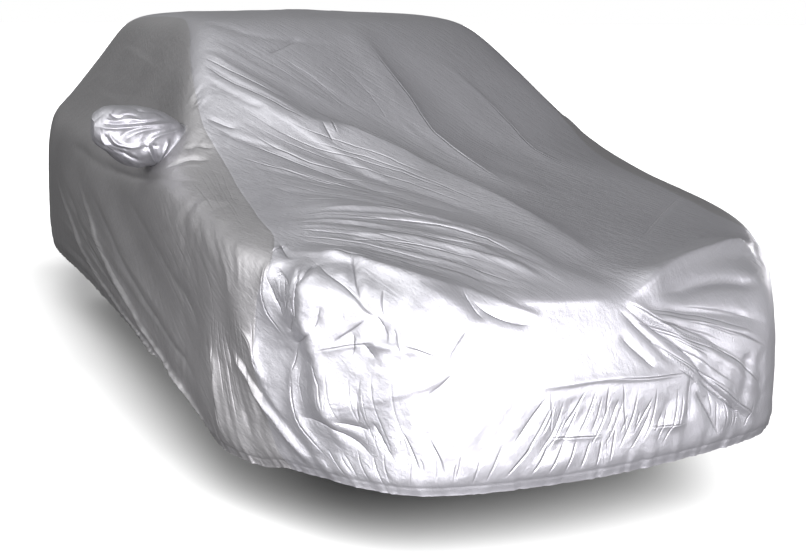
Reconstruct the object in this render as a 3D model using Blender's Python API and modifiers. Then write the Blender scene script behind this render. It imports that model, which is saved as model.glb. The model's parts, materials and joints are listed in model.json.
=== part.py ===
"""Fitted car cover, hanging in the shape that it was cut for: hollow, and open below.

The cover is five pieces of cloth. One long panel runs from the front hem over the bonnet, the windscreen
and the roof to the rear hem. A side panel hangs on each side of it, and a pocket for the door mirror is
sewn into each side panel.

The frame is in metres: x across, y along with the front at -y, z up. The origin is where the cloth is
carried, on the inner face of the long panel at the roof and on the middle plane of the cover.
"""

import math
from collections import namedtuple

import bmesh
import bpy
import numpy as np
from mathutils.bvhtree import BVHTree

CLOTH = 0.0015  # thickness of each sheet
SEAM_GAP = 0.0008  # between the edges of two panels along a seam
ALLOWANCE = 0.012  # width of the row of cells next to a seam, as wide as the allowance sewn there
COLLECTION_NAME = "car_cover"

# The form that the cloth is pulled into: flats that stretch between rounded edges. A point is
# inside a flat while across * |x| + along * y + up * z stays under its reach. The crown is how far the flat
# has drawn in at CROWN_HALF from the middle plane, and the arch how far at 1 m from ARCH_MIDDLE along it.
Flat = namedtuple("Flat", "name across along up reach crown arch")
CROWN_HALF = 0.75
ARCH_MIDDLE = 0.10
LOWER_FLATS = [
    Flat("bonnet", 0.0, -0.185, 1.0, -0.206, 0.026, 0.0),
    Flat("waist", 0.0, 0.0, 1.0, -0.394, 0.090, 0.0),
    Flat("nose_upper", 0.0, -0.97, 0.24, 2.171, 0.100, 0.0),
    Flat("nose_lower", 0.0, -1.0, -0.12, 2.590, 0.140, 0.0),
    Flat("front_corner", 0.616, -0.788, 0.0, 2.269, 0.0, 0.0),
    Flat("front_wing", 0.883, -0.470, 0.0, 1.598, 0.0, 0.0),
    Flat("side_upper", 1.0, 0.0, 0.16, 0.746, 0.0, 0.0),
    Flat("side_lower", 1.0, 0.0, -0.10, 0.947, 0.0, 0.0),
    Flat("tail", 0.0, 1.0, 0.12, 1.412, 0.140, 0.0),
    Flat("rear_corner", 0.643, 0.766, 0.0, 1.519, 0.0, 0.0),
    Flat("rear_wing", 0.906, 0.423, 0.0, 1.193, 0.0, 0.0),
]
CABIN_FLATS = [
    Flat("roof", 0.0, 0.0, 1.0, 0.001, 0.032, 0.035),
    Flat("windscreen", 0.0, -0.587, 1.0, 0.308, 0.147, 0.0),
    Flat("side_glass", 1.0, 0.0, 0.541, 0.514, 0.0, 0.0),
    Flat("side_limit", 1.0, 0.0, 0.0, 0.800, 0.0, 0.0),
    Flat("front_limit", 0.0, -1.0, 0.0, 1.350, 0.0, 0.0),
    Flat("rear_limit", 0.0, 1.0, 0.0, 1.350, 0.0, 0.0),
    Flat("rear_glass", 0.0, 0.825, 1.0, 0.708, 0.129, 0.0),
]
LOWER_ROUNDING = 0.035
CABIN_ROUNDING = 0.030
VALLEY_ROUNDING = 0.045  # where the cabin stands on the lower body and the cloth bridges the hollow

# Stations from the front hem to the rear hem: where the seam between the long panel and a side panel runs,
# out from the middle plane, and the point of the middle plane that lies across from it.
Station = namedtuple("Station", "name out seam_y seam_z middle_y middle_z")
STATIONS = [
    Station("front_hem", 0.722, -2.040, -1.140, -2.449, -1.109),
    Station("bumper", 0.755, -1.975, -1.050, -2.450, -1.020),
    Station("wing_low", 0.777, -1.935, -0.870, -2.450, -0.870),
    Station("lamp", 0.775, -1.932, -0.710, -2.430, -0.740),
    Station("lamp_top", 0.745, -1.945, -0.620, -2.380, -0.660),
    Station("bonnet_corner", 0.700, -1.840, -0.572, -2.260, -0.615),
    Station("bonnet_front", 0.685, -1.680, -0.545, -2.060, -0.580),
    Station("bonnet_rear", 0.655, -1.300, -0.480, -1.650, -0.505),
    Station("pillar_foot", 0.648, -1.010, -0.389, -1.300, -0.430),
    Station("pillar_low", 0.638, -0.860, -0.320, -1.120, -0.350),
    Station("pillar", 0.595, -0.565, -0.165, -0.830, -0.180),
    Station("pillar_top", 0.540, -0.330, -0.065, -0.600, -0.045),
    Station("roof_front", 0.500, -0.050, -0.026, -0.300, -0.006),
    Station("roof_middle", 0.500, 0.350, -0.030, 0.250, 0.000),
    Station("roof_rear", 0.510, 0.720, -0.075, 0.700, -0.030),
    Station("rear_pillar", 0.560, 1.030, -0.270, 1.000, -0.130),
    Station("tail_shoulder", 0.630, 1.240, -0.470, 1.270, -0.350),
    Station("tail", 0.680, 1.340, -0.620, 1.450, -0.580),
    Station("rear_wall", 0.700, 1.380, -0.850, 1.510, -0.850),
    Station("rear_hem", 0.690, 1.370, -1.030, 1.510, -1.010),
]
SIDE_CORNERS = ("lamp_top", "tail")  # where the top edge of a side panel turns down to its ends
RIGHT_HEM_RISE = 0.090  # the front hem climbs towards the right side of the frame, where x is positive

# Height of the hem along each side panel, from the front end to the rear end.
Hem = namedtuple("Hem", "y left_z right_z")
SIDE_HEM = [
    Hem(-2.040, -1.140, -1.050),
    Hem(-1.945, -1.160, -1.060),
    Hem(-1.700, -1.164, -1.090),
    Hem(-1.420, -1.110, -1.090),
    Hem(-1.170, -1.058, -1.065),
    Hem(-0.600, -1.048, -1.055),
    Hem(0.070, -1.034, -1.045),
    Hem(0.850, -1.043, -1.040),
    Hem(1.370, -1.030, -1.030),
]
HEM_PULL = 0.010  # how far the elastic in the hem draws the edge in

WALL_CELLS = 10  # cells up an end of a side panel
LENGTH_CELLS = 44  # cells along the top edge of a side panel
WIDTH_CELLS = 16  # cells across the long panel

# The main folds, as soft ridges (height above 0) and troughs (below 0) along a few points on the form.
Fold = namedtuple("Fold", "name height width points")
FOLDS = [
    Fold("windscreen_ridge", 0.012, 0.060,
         [(-0.02, -0.66, -0.08), (0.02, -1.17, -0.37), (0.11, -1.44, -0.47), (0.18, -1.56, -0.50)]),
    Fold("windscreen_hollow", -0.012, 0.090,
         [(0.10, -0.80, -0.15), (0.20, -1.15, -0.38), (0.34, -1.36, -0.46)]),
    Fold("bonnet_band", 0.012, 0.075,
         [(-0.56, -0.68, -0.20), (-0.43, -0.95, -0.30), (-0.16, -1.39, -0.46), (0.03, -2.05, -0.59)]),
    Fold("bonnet_fan", 0.010, 0.060,
         [(-0.66, -1.75, -0.56), (-0.41, -1.95, -0.58), (-0.21, -2.19, -0.61), (0.00, -2.34, -0.65)]),
    Fold("bonnet_lip", 0.012, 0.055,
         [(0.08, -2.38, -0.67), (0.23, -2.30, -0.64), (0.39, -2.22, -0.62), (0.64, -2.07, -0.62)]),
    Fold("grille_hollow", -0.014, 0.080,
         [(0.18, -2.42, -0.74), (0.40, -2.33, -0.72), (0.60, -2.20, -0.72)]),
    Fold("lamp_left", 0.012, 0.090,
         [(-0.62, -2.13, -0.66), (-0.66, -2.08, -0.76)]),
    Fold("lamp_hollow", -0.012, 0.060,
         [(-0.52, -2.27, -0.72), (-0.68, -2.12, -0.82), (-0.74, -2.00, -0.80)]),
    Fold("plate_top", 0.008, 0.060,
         [(-0.28, -2.44, -0.87), (0.22, -2.44, -0.87)]),
    Fold("wing_ridge", 0.012, 0.060,
         [(-0.81, -1.85, -0.72), (-0.79, -1.91, -0.85), (-0.71, -2.07, -1.02), (-0.63, -2.22, -1.11)]),
    Fold("wing_hollow", -0.012, 0.070,
         [(-0.82, -1.75, -0.74), (-0.82, -1.80, -0.90), (-0.77, -1.94, -1.08)]),
    Fold("door_ridge", 0.013, 0.080,
         [(-0.85, -0.02, -0.63), (-0.86, -0.60, -0.80), (-0.86, -1.30, -0.95), (-0.82, -1.78, -1.10)]),
    Fold("door_hollow", -0.011, 0.090,
         [(-0.85, -0.35, -0.60), (-0.86, -0.95, -0.77), (-0.85, -1.50, -0.90)]),
    Fold("rear_door_ridge", 0.010, 0.080,
         [(-0.85, 0.60, -0.66), (-0.86, -0.10, -0.86), (-0.86, -1.02, -1.00)]),
    Fold("right_door_ridge", 0.011, 0.085,
         [(0.85, 0.40, -0.62), (0.86, -0.35, -0.80), (0.86, -1.15, -0.98)]),
    Fold("right_wing_ridge", 0.011, 0.070,
         [(0.82, -1.45, -0.68), (0.82, -1.78, -0.86), (0.76, -1.98, -1.02)]),
    Fold("roof_swag", -0.008, 0.160,
         [(-0.35, 0.35, -0.01), (0.05, 0.50, -0.01), (0.38, 0.42, -0.01)]),
    Fold("rear_swag", 0.011, 0.080,
         [(-0.45, 0.85, -0.15), (0.05, 1.05, -0.18), (0.48, 0.95, -0.25)]),
    Fold("rear_wall_ridge", 0.010, 0.070,
         [(-0.30, 1.46, -0.60), (-0.12, 1.50, -0.85), (0.02, 1.50, -1.00)]),
]

# The mirror pockets: sections from the seam outwards. Out is from the side panel, lean is how closely the
# section follows the slant of the panel, rise and shift move its middle up and along, and the other two
# columns are its half sizes. The wall starts straight, from behind the panel to the first section.
Section = namedtuple("Section", "out lean rise shift half_height half_length")
POCKET_MIDDLE_Y = -0.840
POCKET_MIDDLE_Z = -0.418
POCKET_SIDES = 20
LEFT_POCKET = [
    Section(0.014, 1.0, 0.000, 0.000, 0.066, 0.078),
    Section(0.059, 0.6, 0.016, -0.004, 0.086, 0.090),
    Section(0.114, 0.4, 0.036, -0.008, 0.092, 0.092),
    Section(0.169, 0.2, 0.053, -0.010, 0.081, 0.084),
    Section(0.214, 0.1, 0.061, -0.012, 0.061, 0.066),
    Section(0.240, 0.0, 0.058, -0.012, 0.036, 0.042),
]
# The pocket on the right isn't stretched, and lies slack against its panel.
RIGHT_POCKET = [
    Section(0.006, 1.0, 0.000, 0.000, 0.066, 0.078),
    Section(0.010, 1.0, 0.000, 0.000, 0.060, 0.072),
    Section(0.013, 1.0, -0.002, 0.001, 0.046, 0.056),
    Section(0.014, 1.0, -0.003, 0.002, 0.026, 0.034),
]
POCKET_ALLOWANCE = 0.014  # how far the edge of a pocket is turned in behind the side panel

Finish = namedtuple("Finish", "color roughness metallic")
SILVER = Finish((0.36, 0.36, 0.38, 1.0), 0.42, 0.55)
BLUE_SILVER = Finish((0.30, 0.32, 0.36, 1.0), 0.45, 0.50)
BRIGHT_SILVER = Finish((0.55, 0.55, 0.57, 1.0), 0.28, 0.75)


def smooth_max(values, rounding):
    """The largest of the values at each point, with the change from one to the next rounded off."""
    stacked = np.stack(values)
    top = stacked.max(axis=0)
    return top + rounding * np.log(np.exp((stacked - top) / rounding).sum(axis=0))


def beyond_flat(flat, points):
    """How far each point lies beyond a flat, in metres."""
    x, y, z = points[..., 0], points[..., 1], points[..., 2]
    level = flat.across * np.abs(x) + flat.along * y + flat.up * z
    drawn_in = flat.crown * (x / CROWN_HALF) ** 2 + flat.arch * (y - ARCH_MIDDLE) ** 2
    slant = math.hypot(flat.across, flat.along, flat.up)
    return (level + drawn_in - flat.reach) / slant


def beyond_form(points):
    """How far each point lies outside the whole form, in metres."""
    lower = smooth_max([beyond_flat(flat, points) for flat in LOWER_FLATS], LOWER_ROUNDING)
    cabin = smooth_max([beyond_flat(flat, points) for flat in CABIN_FLATS], CABIN_ROUNDING)
    return -smooth_max([-lower, -cabin], VALLEY_ROUNDING)


def outward(points, step=0.0005):
    """The direction away from the form at each point."""
    slopes = []
    for axis in np.eye(3):
        ahead, behind = points + step * axis, points - step * axis
        slopes.append(beyond_form(ahead) - beyond_form(behind))
    slopes = np.stack(slopes, axis=-1)
    return slopes / np.linalg.norm(slopes, axis=-1, keepdims=True)


def onto_form(guesses):
    """Each guess moved onto the form, along the line to it from the core of the form."""
    core_half, core_front, core_rear, core_top = 0.35, -1.95, 0.75, -0.85
    x, y, z = guesses[..., 0], guesses[..., 1], guesses[..., 2]
    core = np.stack([core_half * x, np.clip(y, core_front, core_rear), np.minimum(z, core_top)], axis=-1)
    line = guesses - core
    near, far = np.zeros(x.shape), np.full(x.shape, 3.0)
    for _ in range(32):
        middle = (near + far) / 2
        inside = beyond_form(core + line * middle[..., None]) < 0
        near, far = np.where(inside, middle, near), np.where(inside, far, middle)
    return core + line * near[..., None]


def through(rows, places):
    """Points at the given places along a smooth curve through the rows; place 2.5 is halfway from 2 to 3."""
    rows = np.asarray(rows, float)
    padded = np.vstack([2 * rows[0] - rows[1], rows, 2 * rows[-1] - rows[-2]])
    places = np.asarray(places, float)
    first = np.clip(places.astype(int), 0, len(rows) - 2)
    t = (places - first)[:, None]
    a, b, c, d = (padded[first + k] for k in range(4))
    return 0.5 * (2 * b + (c - a) * t + (2 * a - 5 * b + 4 * c - d) * t**2 + (3 * b - a - 3 * c + d) * t**3)


def even_places(rows, start, end, cells, narrow_start, narrow_end):
    """Places that split a stretch of the curve evenly, with an allowance at the ends that ask for one."""
    fine = np.linspace(start, end, 400)
    steps = np.linalg.norm(np.diff(through(rows, fine), axis=0), axis=1)
    run = np.concatenate([[0.0], np.cumsum(steps)])
    inner_start = ALLOWANCE if narrow_start else 0.0
    inner_end = run[-1] - (ALLOWANCE if narrow_end else 0.0)
    inner = cells - narrow_start - narrow_end
    marks = list(np.linspace(inner_start, inner_end, inner + 1))
    if narrow_start:
        marks.insert(0, 0.0)
    if narrow_end:
        marks.append(run[-1])
    return np.interp(marks, run, fine)


def station_places():
    """Places of all stations that the panels share, from the front hem to the rear hem."""
    rows = [station[1:] for station in STATIONS]
    names = [station.name for station in STATIONS]
    front, rear = (names.index(name) for name in SIDE_CORNERS)
    wall = even_places(rows, 0, front, WALL_CELLS, False, True)
    length = even_places(rows, front, rear, LENGTH_CELLS, True, True)
    back = even_places(rows, rear, len(rows) - 1, WALL_CELLS, True, False)
    return np.concatenate([wall, length[1:], back[1:]])


def seam_guesses(side, places):
    """The seam on one side: -1 is the left of the frame and 1 the right."""
    guesses = through([(side * s.out, s.seam_y, s.seam_z) for s in STATIONS], places)
    if side > 0:
        wall_end = places[WALL_CELLS]
        guesses[:, 2] += RIGHT_HEM_RISE * np.clip(1 - places / wall_end, 0, 1)
    return guesses


def middle_guesses(places):
    return through([(0.0, s.middle_y, s.middle_z) for s in STATIONS], places)


def narrow_shares(cells, share):
    """Shares from 0 to 1 with one narrow cell at each end."""
    return np.concatenate([[0.0], np.linspace(share, 1 - share, cells - 1), [1.0]])


def fold_height(points):
    """How far the folds lift or lower the cloth at each point."""
    height = np.zeros(points.shape[:-1])
    for fold in FOLDS:
        route = onto_form(np.array(fold.points))
        nearest = np.full(height.shape, np.inf)
        along = np.zeros(height.shape)
        for index, (start, end) in enumerate(zip(route, route[1:])):
            run = end - start
            share = np.clip(((points - start) @ run) / (run @ run), 0, 1)
            away = np.linalg.norm(points - (start + share[..., None] * run), axis=-1)
            along = np.where(away < nearest, (index + share) / (len(route) - 1), along)
            nearest = np.minimum(nearest, away)
        fade = np.sqrt(np.clip(np.sin(np.pi * (0.08 + 0.84 * along)), 0, 1))
        height += fold.height * fade * np.exp(-((nearest / fold.width) ** 2))
    return height


def draped(guesses, hem_share):
    """The cloth over the guesses: on the form, folded, and drawn in where the share of hem is 1."""
    points = onto_form(guesses)
    lift = fold_height(points) - HEM_PULL * hem_share
    lift = lift + CLOTH / 2
    return points + outward(points) * lift[..., None]


def long_panel_points(places):
    """Rows from the front hem to the rear hem, columns from the left seam to the right one."""
    left, right = seam_guesses(-1, places), seam_guesses(1, places)
    middle = middle_guesses(places)
    share = narrow_shares(WIDTH_CELLS, ALLOWANCE / 1.4)[None, :, None]
    chord = left[:, None] * (1 - share) + right[:, None] * share
    bow = middle - (left + right) / 2
    guesses = chord + bow[:, None] * 4 * share * (1 - share)
    hem_share = np.zeros(guesses.shape[:2])
    hem_share[0] = hem_share[-1] = 1.0
    return draped(guesses, hem_share)


def side_hem_guesses(side, seam):
    """The hem of a side panel, below the points of its top edge."""
    heights = [hem.left_z if side < 0 else hem.right_z for hem in SIDE_HEM]
    share = np.linspace(0, 1, len(seam))
    ends = seam[0, 1], seam[-1, 1]
    y = np.clip(seam[:, 1], SIDE_HEM[0].y, SIDE_HEM[-1].y)
    y = y + (SIDE_HEM[0].y - ends[0]) * (1 - share) ** 6 + (SIDE_HEM[-1].y - ends[1]) * share**6
    z = np.interp(y, [hem.y for hem in SIDE_HEM], heights)
    return np.stack([np.full(len(y), side * 0.85), y, z], axis=-1)


def side_panel_points(side, places):
    """Rows from the hem to the top edge, columns from the front end to the rear end."""
    seam = seam_guesses(side, places)
    front = seam[: WALL_CELLS + 1]
    rear = seam[: -WALL_CELLS - 2 : -1]
    top = seam[WALL_CELLS : WALL_CELLS + LENGTH_CELLS + 1]
    bottom = side_hem_guesses(side, top)
    bottom[0], bottom[-1] = front[0], rear[0]
    run = np.linalg.norm(np.diff(top, axis=0), axis=1)
    along = np.concatenate([[0.0], np.cumsum(run)]) / run.sum()
    climb = np.linalg.norm(np.diff(front, axis=0), axis=1)
    up = np.concatenate([[0.0], np.cumsum(climb)]) / climb.sum()
    u, v = along[None, :, None], up[:, None, None]
    across_rows = bottom[None] * (1 - v) + top[None] * v
    across_columns = front[:, None] * (1 - u) + rear[:, None] * u
    corners = (bottom[0] * (1 - u) + bottom[-1] * u) * (1 - v) + (top[0] * (1 - u) + top[-1] * u) * v
    guesses = across_rows + across_columns - corners
    hem_share = np.zeros(guesses.shape[:2])
    hem_share[0] = 1.0
    return draped(guesses, hem_share)


def open_seam(points, edges):
    """Moves the named edges of a panel in by half the gap of a seam."""
    points = points.copy()
    inner = {
        "first_column": (points[:, 0], points[:, 1]),
        "last_column": (points[:, -1], points[:, -2]),
        "last_row": (points[-1], points[-2]),
    }
    moves = []
    for name in edges:
        edge, neighbour = inner[name]
        step = neighbour - edge
        moves.append((edge, step * (SEAM_GAP / 2) / np.linalg.norm(step, axis=-1, keepdims=True)))
    for edge, move in moves:
        edge += move
    return points


def give_material(made, finish):
    surface = bpy.data.materials.new(made.name + "_cloth")
    surface.use_nodes = True
    shader = surface.node_tree.nodes["Principled BSDF"]
    shader.inputs["Base Color"].default_value = finish.color
    shader.inputs["Roughness"].default_value = finish.roughness
    shader.inputs["Metallic"].default_value = finish.metallic
    made.data.materials.append(surface)


def new_object(name, collection):
    made = bpy.data.objects.new(name, bpy.data.meshes.new(name))
    collection.objects.link(made)
    return made


def write_mesh(made, shape):
    shape.to_mesh(made.data)
    shape.free()
    made.data.shade_smooth()


def add_thickness(made):
    solidify = made.modifiers.new("Cloth", "SOLIDIFY")
    solidify.thickness = CLOTH
    solidify.offset = 0.0
    solidify.use_even_offset = True


def add_panel(name, points, turned, collection, finish):
    """A sheet from a grid whose points are moved to where the cloth hangs."""
    rows, columns = points.shape[:2]
    shape = bmesh.new()
    bmesh.ops.create_grid(shape, x_segments=columns - 1, y_segments=rows - 1, size=1.0)
    for vertex in shape.verts:
        column = round((vertex.co.x + 1) / 2 * (columns - 1))
        row = round((vertex.co.y + 1) / 2 * (rows - 1))
        vertex.co = points[row, column]
    if turned:
        bmesh.ops.reverse_faces(shape, faces=shape.faces[:])
    made = new_object(name, collection)
    write_mesh(made, shape)
    give_material(made, finish)
    add_thickness(made)
    return made


def panel_face_x(panel, side, y, z):
    """The x of the side panel at each height and place along."""
    corners = [vertex.co for vertex in panel.data.vertices]
    faces = BVHTree.FromPolygons(corners, [face.vertices for face in panel.data.polygons])
    start_x, inward = side * 2.0, (-side, 0.0, 0.0)
    return np.array([faces.ray_cast((start_x, *place), inward)[0].x for place in zip(y, z)])


def ring(section, extra=0.0):
    """The y and z of a pocket's section, as an ellipse with its corners filled out, grown by extra."""
    turn = np.arange(POCKET_SIDES) * 2 * math.pi / POCKET_SIDES
    fullness = 0.85
    along = np.sign(np.cos(turn)) * np.abs(np.cos(turn)) ** fullness * (section.half_length + extra)
    height = np.sign(np.sin(turn)) * np.abs(np.sin(turn)) ** fullness * (section.half_height + extra)
    return POCKET_MIDDLE_Y + section.shift + along, POCKET_MIDDLE_Z + section.rise + height


def pocket_rings(panel, side, sections):
    """Rings of points from the turned-in edge to the outer end of a pocket."""
    base_y, base_z = ring(sections[0])
    base_x = panel_face_x(panel, side, base_y, base_z)
    mean_x = base_x.mean()
    rings = []
    for away in (-POCKET_ALLOWANCE, sections[0].out):
        rings.append(np.stack([base_x + side * away, base_y, base_z], axis=-1))
    for section in sections[1:]:
        y, z = ring(section)
        slant = (base_x - mean_x) * section.half_height / sections[0].half_height
        x = mean_x + section.lean * slant + side * section.out
        rings.append(np.stack([x, y, z], axis=-1))
    return np.array(rings)


def round_the_ring(vertices):
    """The vertices of a circle in the order of their turn about its axis."""
    share = POCKET_SIDES / (2 * math.pi)
    return sorted(vertices, key=lambda v: round(math.atan2(v.co.y, v.co.x) * share) % POCKET_SIDES)


def add_pocket(name, panel, side, sections, collection, finish):
    """A pouch from a cone's wall, whose rings are moved to the sections, closed at its outer end."""
    rings = pocket_rings(panel, side, sections)
    shape = bmesh.new()
    bmesh.ops.create_circle(shape, cap_ends=False, segments=POCKET_SIDES, radius=1.0)
    edge = shape.edges[:]
    loops = [round_the_ring(shape.verts)]
    for _ in rings[1:]:
        grown = bmesh.ops.extrude_edge_only(shape, edges=edge)["geom"]
        edge = [item for item in grown if isinstance(item, bmesh.types.BMEdge)]
        fresh = [item for item in grown if isinstance(item, bmesh.types.BMVert)]
        loops.append(round_the_ring(fresh))
    for loop, points in zip(loops, rings):
        for vertex, point in zip(loop, points):
            vertex.co = point
    tip = bmesh.ops.contextual_create(shape, geom=edge)["faces"]
    bmesh.ops.poke(shape, faces=tip)
    shape.normal_update()
    bmesh.ops.recalc_face_normals(shape, faces=shape.faces[:])
    made = new_object(name, collection)
    write_mesh(made, shape)
    give_material(made, finish)
    add_thickness(made)
    return made


def cut_opening(panel, side, sections, collection):
    """Cuts the side panel for the pocket that is sewn in there, a little wider than the pocket's wall."""
    y, z = ring(sections[0], CLOTH / 2 + SEAM_GAP)
    shape = bmesh.new()
    bmesh.ops.create_cone(
        shape, cap_ends=True, cap_tris=False, segments=POCKET_SIDES, radius1=1.0, radius2=1.0, depth=2.0
    )
    reach = {True: side * 0.45, False: side * 1.05}
    lower = round_the_ring([vertex for vertex in shape.verts if vertex.co.z < 0])
    upper = round_the_ring([vertex for vertex in shape.verts if vertex.co.z > 0])
    for inner, loop in ((True, lower), (False, upper)):
        for index, vertex in enumerate(loop):
            vertex.co = (reach[inner], y[index], z[index])
    shape.normal_update()
    bmesh.ops.recalc_face_normals(shape, faces=shape.faces[:])
    cutter = new_object(panel.name + "_opening", collection)
    write_mesh(cutter, shape)
    cutter.hide_render = True
    cutter.display_type = "WIRE"
    panel.modifiers.new("Flat facets", "TRIANGULATE")
    cut = panel.modifiers.new("Mirror opening", "BOOLEAN")
    cut.operation = "DIFFERENCE"
    cut.object = cutter


def new_collection(name):
    made = bpy.data.collections.new(name)
    bpy.context.scene.collection.children.link(made)
    return made


def main():
    for old in list(bpy.data.objects):
        bpy.data.objects.remove(old, do_unlink=True)
    cover = new_collection(COLLECTION_NAME)
    cutters = new_collection("cutters")

    places = station_places()
    long_points = open_seam(long_panel_points(places), ("first_column", "last_column"))
    add_panel("top_panel", long_points, True, cover, SILVER)
    for side, name, sections in ((-1, "left", LEFT_POCKET), (1, "right", RIGHT_POCKET)):
        points = open_seam(side_panel_points(side, places), ("first_column", "last_column", "last_row"))
        panel = add_panel(name + "_side_panel", points, side > 0, cover, BLUE_SILVER)
        cut_opening(panel, side, sections, cutters)
        add_pocket(name + "_mirror_pocket", panel, side, sections, cover, BRIGHT_SILVER)


main()
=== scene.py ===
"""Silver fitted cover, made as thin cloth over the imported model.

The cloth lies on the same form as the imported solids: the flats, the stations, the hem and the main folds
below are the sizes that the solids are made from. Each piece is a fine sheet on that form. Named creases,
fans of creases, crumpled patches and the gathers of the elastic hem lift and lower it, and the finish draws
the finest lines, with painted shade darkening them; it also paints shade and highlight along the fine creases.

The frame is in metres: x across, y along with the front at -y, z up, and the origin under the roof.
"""

import json
import math
from collections import namedtuple

import bpy
import numpy as np
from mathutils import Matrix, Vector

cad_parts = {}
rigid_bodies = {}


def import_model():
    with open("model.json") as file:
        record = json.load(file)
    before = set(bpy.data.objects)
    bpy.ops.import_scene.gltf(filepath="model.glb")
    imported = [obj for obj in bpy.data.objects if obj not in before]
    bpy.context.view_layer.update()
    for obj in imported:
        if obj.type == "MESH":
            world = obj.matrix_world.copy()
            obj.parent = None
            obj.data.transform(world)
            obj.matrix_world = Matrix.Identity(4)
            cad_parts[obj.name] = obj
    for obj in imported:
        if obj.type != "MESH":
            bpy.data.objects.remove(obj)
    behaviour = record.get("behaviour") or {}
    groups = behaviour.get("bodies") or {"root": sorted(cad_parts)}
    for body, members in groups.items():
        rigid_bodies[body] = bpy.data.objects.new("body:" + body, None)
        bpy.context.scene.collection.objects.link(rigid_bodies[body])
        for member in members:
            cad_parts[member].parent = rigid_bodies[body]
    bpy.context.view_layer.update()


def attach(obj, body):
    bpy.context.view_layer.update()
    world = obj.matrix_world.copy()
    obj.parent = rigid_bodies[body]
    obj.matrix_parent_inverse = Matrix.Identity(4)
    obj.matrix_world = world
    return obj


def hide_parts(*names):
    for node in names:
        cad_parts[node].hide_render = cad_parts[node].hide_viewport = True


bl_info = {
    "name": "Fitted Silver Cover",
    "version": (1, 0, 0),
    "blender": (4, 5, 0),
    "location": "3D View > Sidebar > Silver Cover",
    "description": "Makes a fitted silver cover as thin cloth with its seams, creases and elastic hem",
    "category": "Add Mesh",
}

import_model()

# ---------------------------------------------------------------------------------------------------------
# The form that the cloth is pulled into, as in the solids: flats that stretch between rounded edges. A point
# is inside a flat while across * |x| + along * y + up * z stays under its reach. The crown is how far the
# flat has drawn in at CROWN_HALF from the middle plane, and the arch how far 1 m from ARCH_MIDDLE along it.
Flat = namedtuple("Flat", "name across along up reach crown arch")
CROWN_HALF = 0.75
ARCH_MIDDLE = 0.10
LOWER_FLATS = [
    Flat("bonnet", 0.0, -0.185, 1.0, -0.206, 0.026, 0.0),
    Flat("waist", 0.0, 0.0, 1.0, -0.394, 0.090, 0.0),
    Flat("nose_upper", 0.0, -0.97, 0.24, 2.171, 0.100, 0.0),
    Flat("nose_lower", 0.0, -1.0, -0.12, 2.590, 0.140, 0.0),
    Flat("front_corner", 0.616, -0.788, 0.0, 2.269, 0.0, 0.0),
    Flat("front_wing", 0.883, -0.470, 0.0, 1.598, 0.0, 0.0),
    Flat("side_upper", 1.0, 0.0, 0.16, 0.746, 0.0, 0.0),
    Flat("side_lower", 1.0, 0.0, -0.10, 0.947, 0.0, 0.0),
    Flat("tail", 0.0, 1.0, 0.12, 1.412, 0.140, 0.0),
    Flat("rear_corner", 0.643, 0.766, 0.0, 1.519, 0.0, 0.0),
    Flat("rear_wing", 0.906, 0.423, 0.0, 1.193, 0.0, 0.0),
]
CABIN_FLATS = [
    Flat("roof", 0.0, 0.0, 1.0, 0.001, 0.032, 0.035),
    Flat("windscreen", 0.0, -0.587, 1.0, 0.308, 0.147, 0.0),
    Flat("side_glass", 1.0, 0.0, 0.541, 0.514, 0.0, 0.0),
    Flat("side_limit", 1.0, 0.0, 0.0, 0.800, 0.0, 0.0),
    Flat("front_limit", 0.0, -1.0, 0.0, 1.350, 0.0, 0.0),
    Flat("rear_limit", 0.0, 1.0, 0.0, 1.350, 0.0, 0.0),
    Flat("rear_glass", 0.0, 0.825, 1.0, 0.708, 0.129, 0.0),
]
LOWER_ROUNDING = 0.035
CABIN_ROUNDING = 0.030
VALLEY_ROUNDING = 0.045

# Stations from the front hem to the rear hem: where the seam between the long panel and a side panel runs,
# out from the middle plane, and the point of the middle plane that lies across from it. Cell is the spacing
# of the cloth's rows there.
Station = namedtuple("Station", "name out seam_y seam_z middle_y middle_z cell")
STATIONS = [
    Station("front_hem", 0.722, -2.040, -1.140, -2.449, -1.109, 0.0040),
    Station("front_low", 0.755, -1.975, -1.050, -2.450, -1.020, 0.0052),
    Station("wing_low", 0.777, -1.935, -0.870, -2.450, -0.870, 0.0050),
    Station("wing_middle", 0.775, -1.932, -0.710, -2.430, -0.740, 0.0048),
    Station("wing_top", 0.745, -1.945, -0.620, -2.380, -0.660, 0.0048),
    Station("bonnet_corner", 0.700, -1.840, -0.572, -2.260, -0.615, 0.0060),
    Station("bonnet_front", 0.685, -1.680, -0.545, -2.060, -0.580, 0.0075),
    Station("bonnet_rear", 0.655, -1.300, -0.480, -1.650, -0.505, 0.0085),
    Station("pillar_foot", 0.648, -1.010, -0.389, -1.300, -0.430, 0.0085),
    Station("pillar_low", 0.638, -0.860, -0.320, -1.120, -0.350, 0.0085),
    Station("pillar", 0.595, -0.565, -0.165, -0.830, -0.180, 0.0095),
    Station("pillar_top", 0.540, -0.330, -0.065, -0.600, -0.045, 0.0110),
    Station("roof_front", 0.500, -0.050, -0.026, -0.300, -0.006, 0.0180),
    Station("roof_middle", 0.500, 0.350, -0.030, 0.250, 0.000, 0.0220),
    Station("roof_rear", 0.510, 0.720, -0.075, 0.700, -0.030, 0.0200),
    Station("rear_pillar", 0.560, 1.030, -0.270, 1.000, -0.130, 0.0170),
    Station("tail_shoulder", 0.630, 1.240, -0.470, 1.270, -0.350, 0.0150),
    Station("tail", 0.680, 1.340, -0.620, 1.450, -0.580, 0.0140),
    Station("rear_wall", 0.700, 1.380, -0.850, 1.510, -0.850, 0.0120),
    Station("rear_hem", 0.690, 1.370, -1.030, 1.510, -1.010, 0.0060),
]
# The stations at the upper corners of a side panel, how much higher its right front end hangs, and about how
# far out its sides lie.
SIDE_CORNERS = ("wing_top", "tail")
RIGHT_HEM_RISE = 0.090
SIDE_OUT = 0.85

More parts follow.
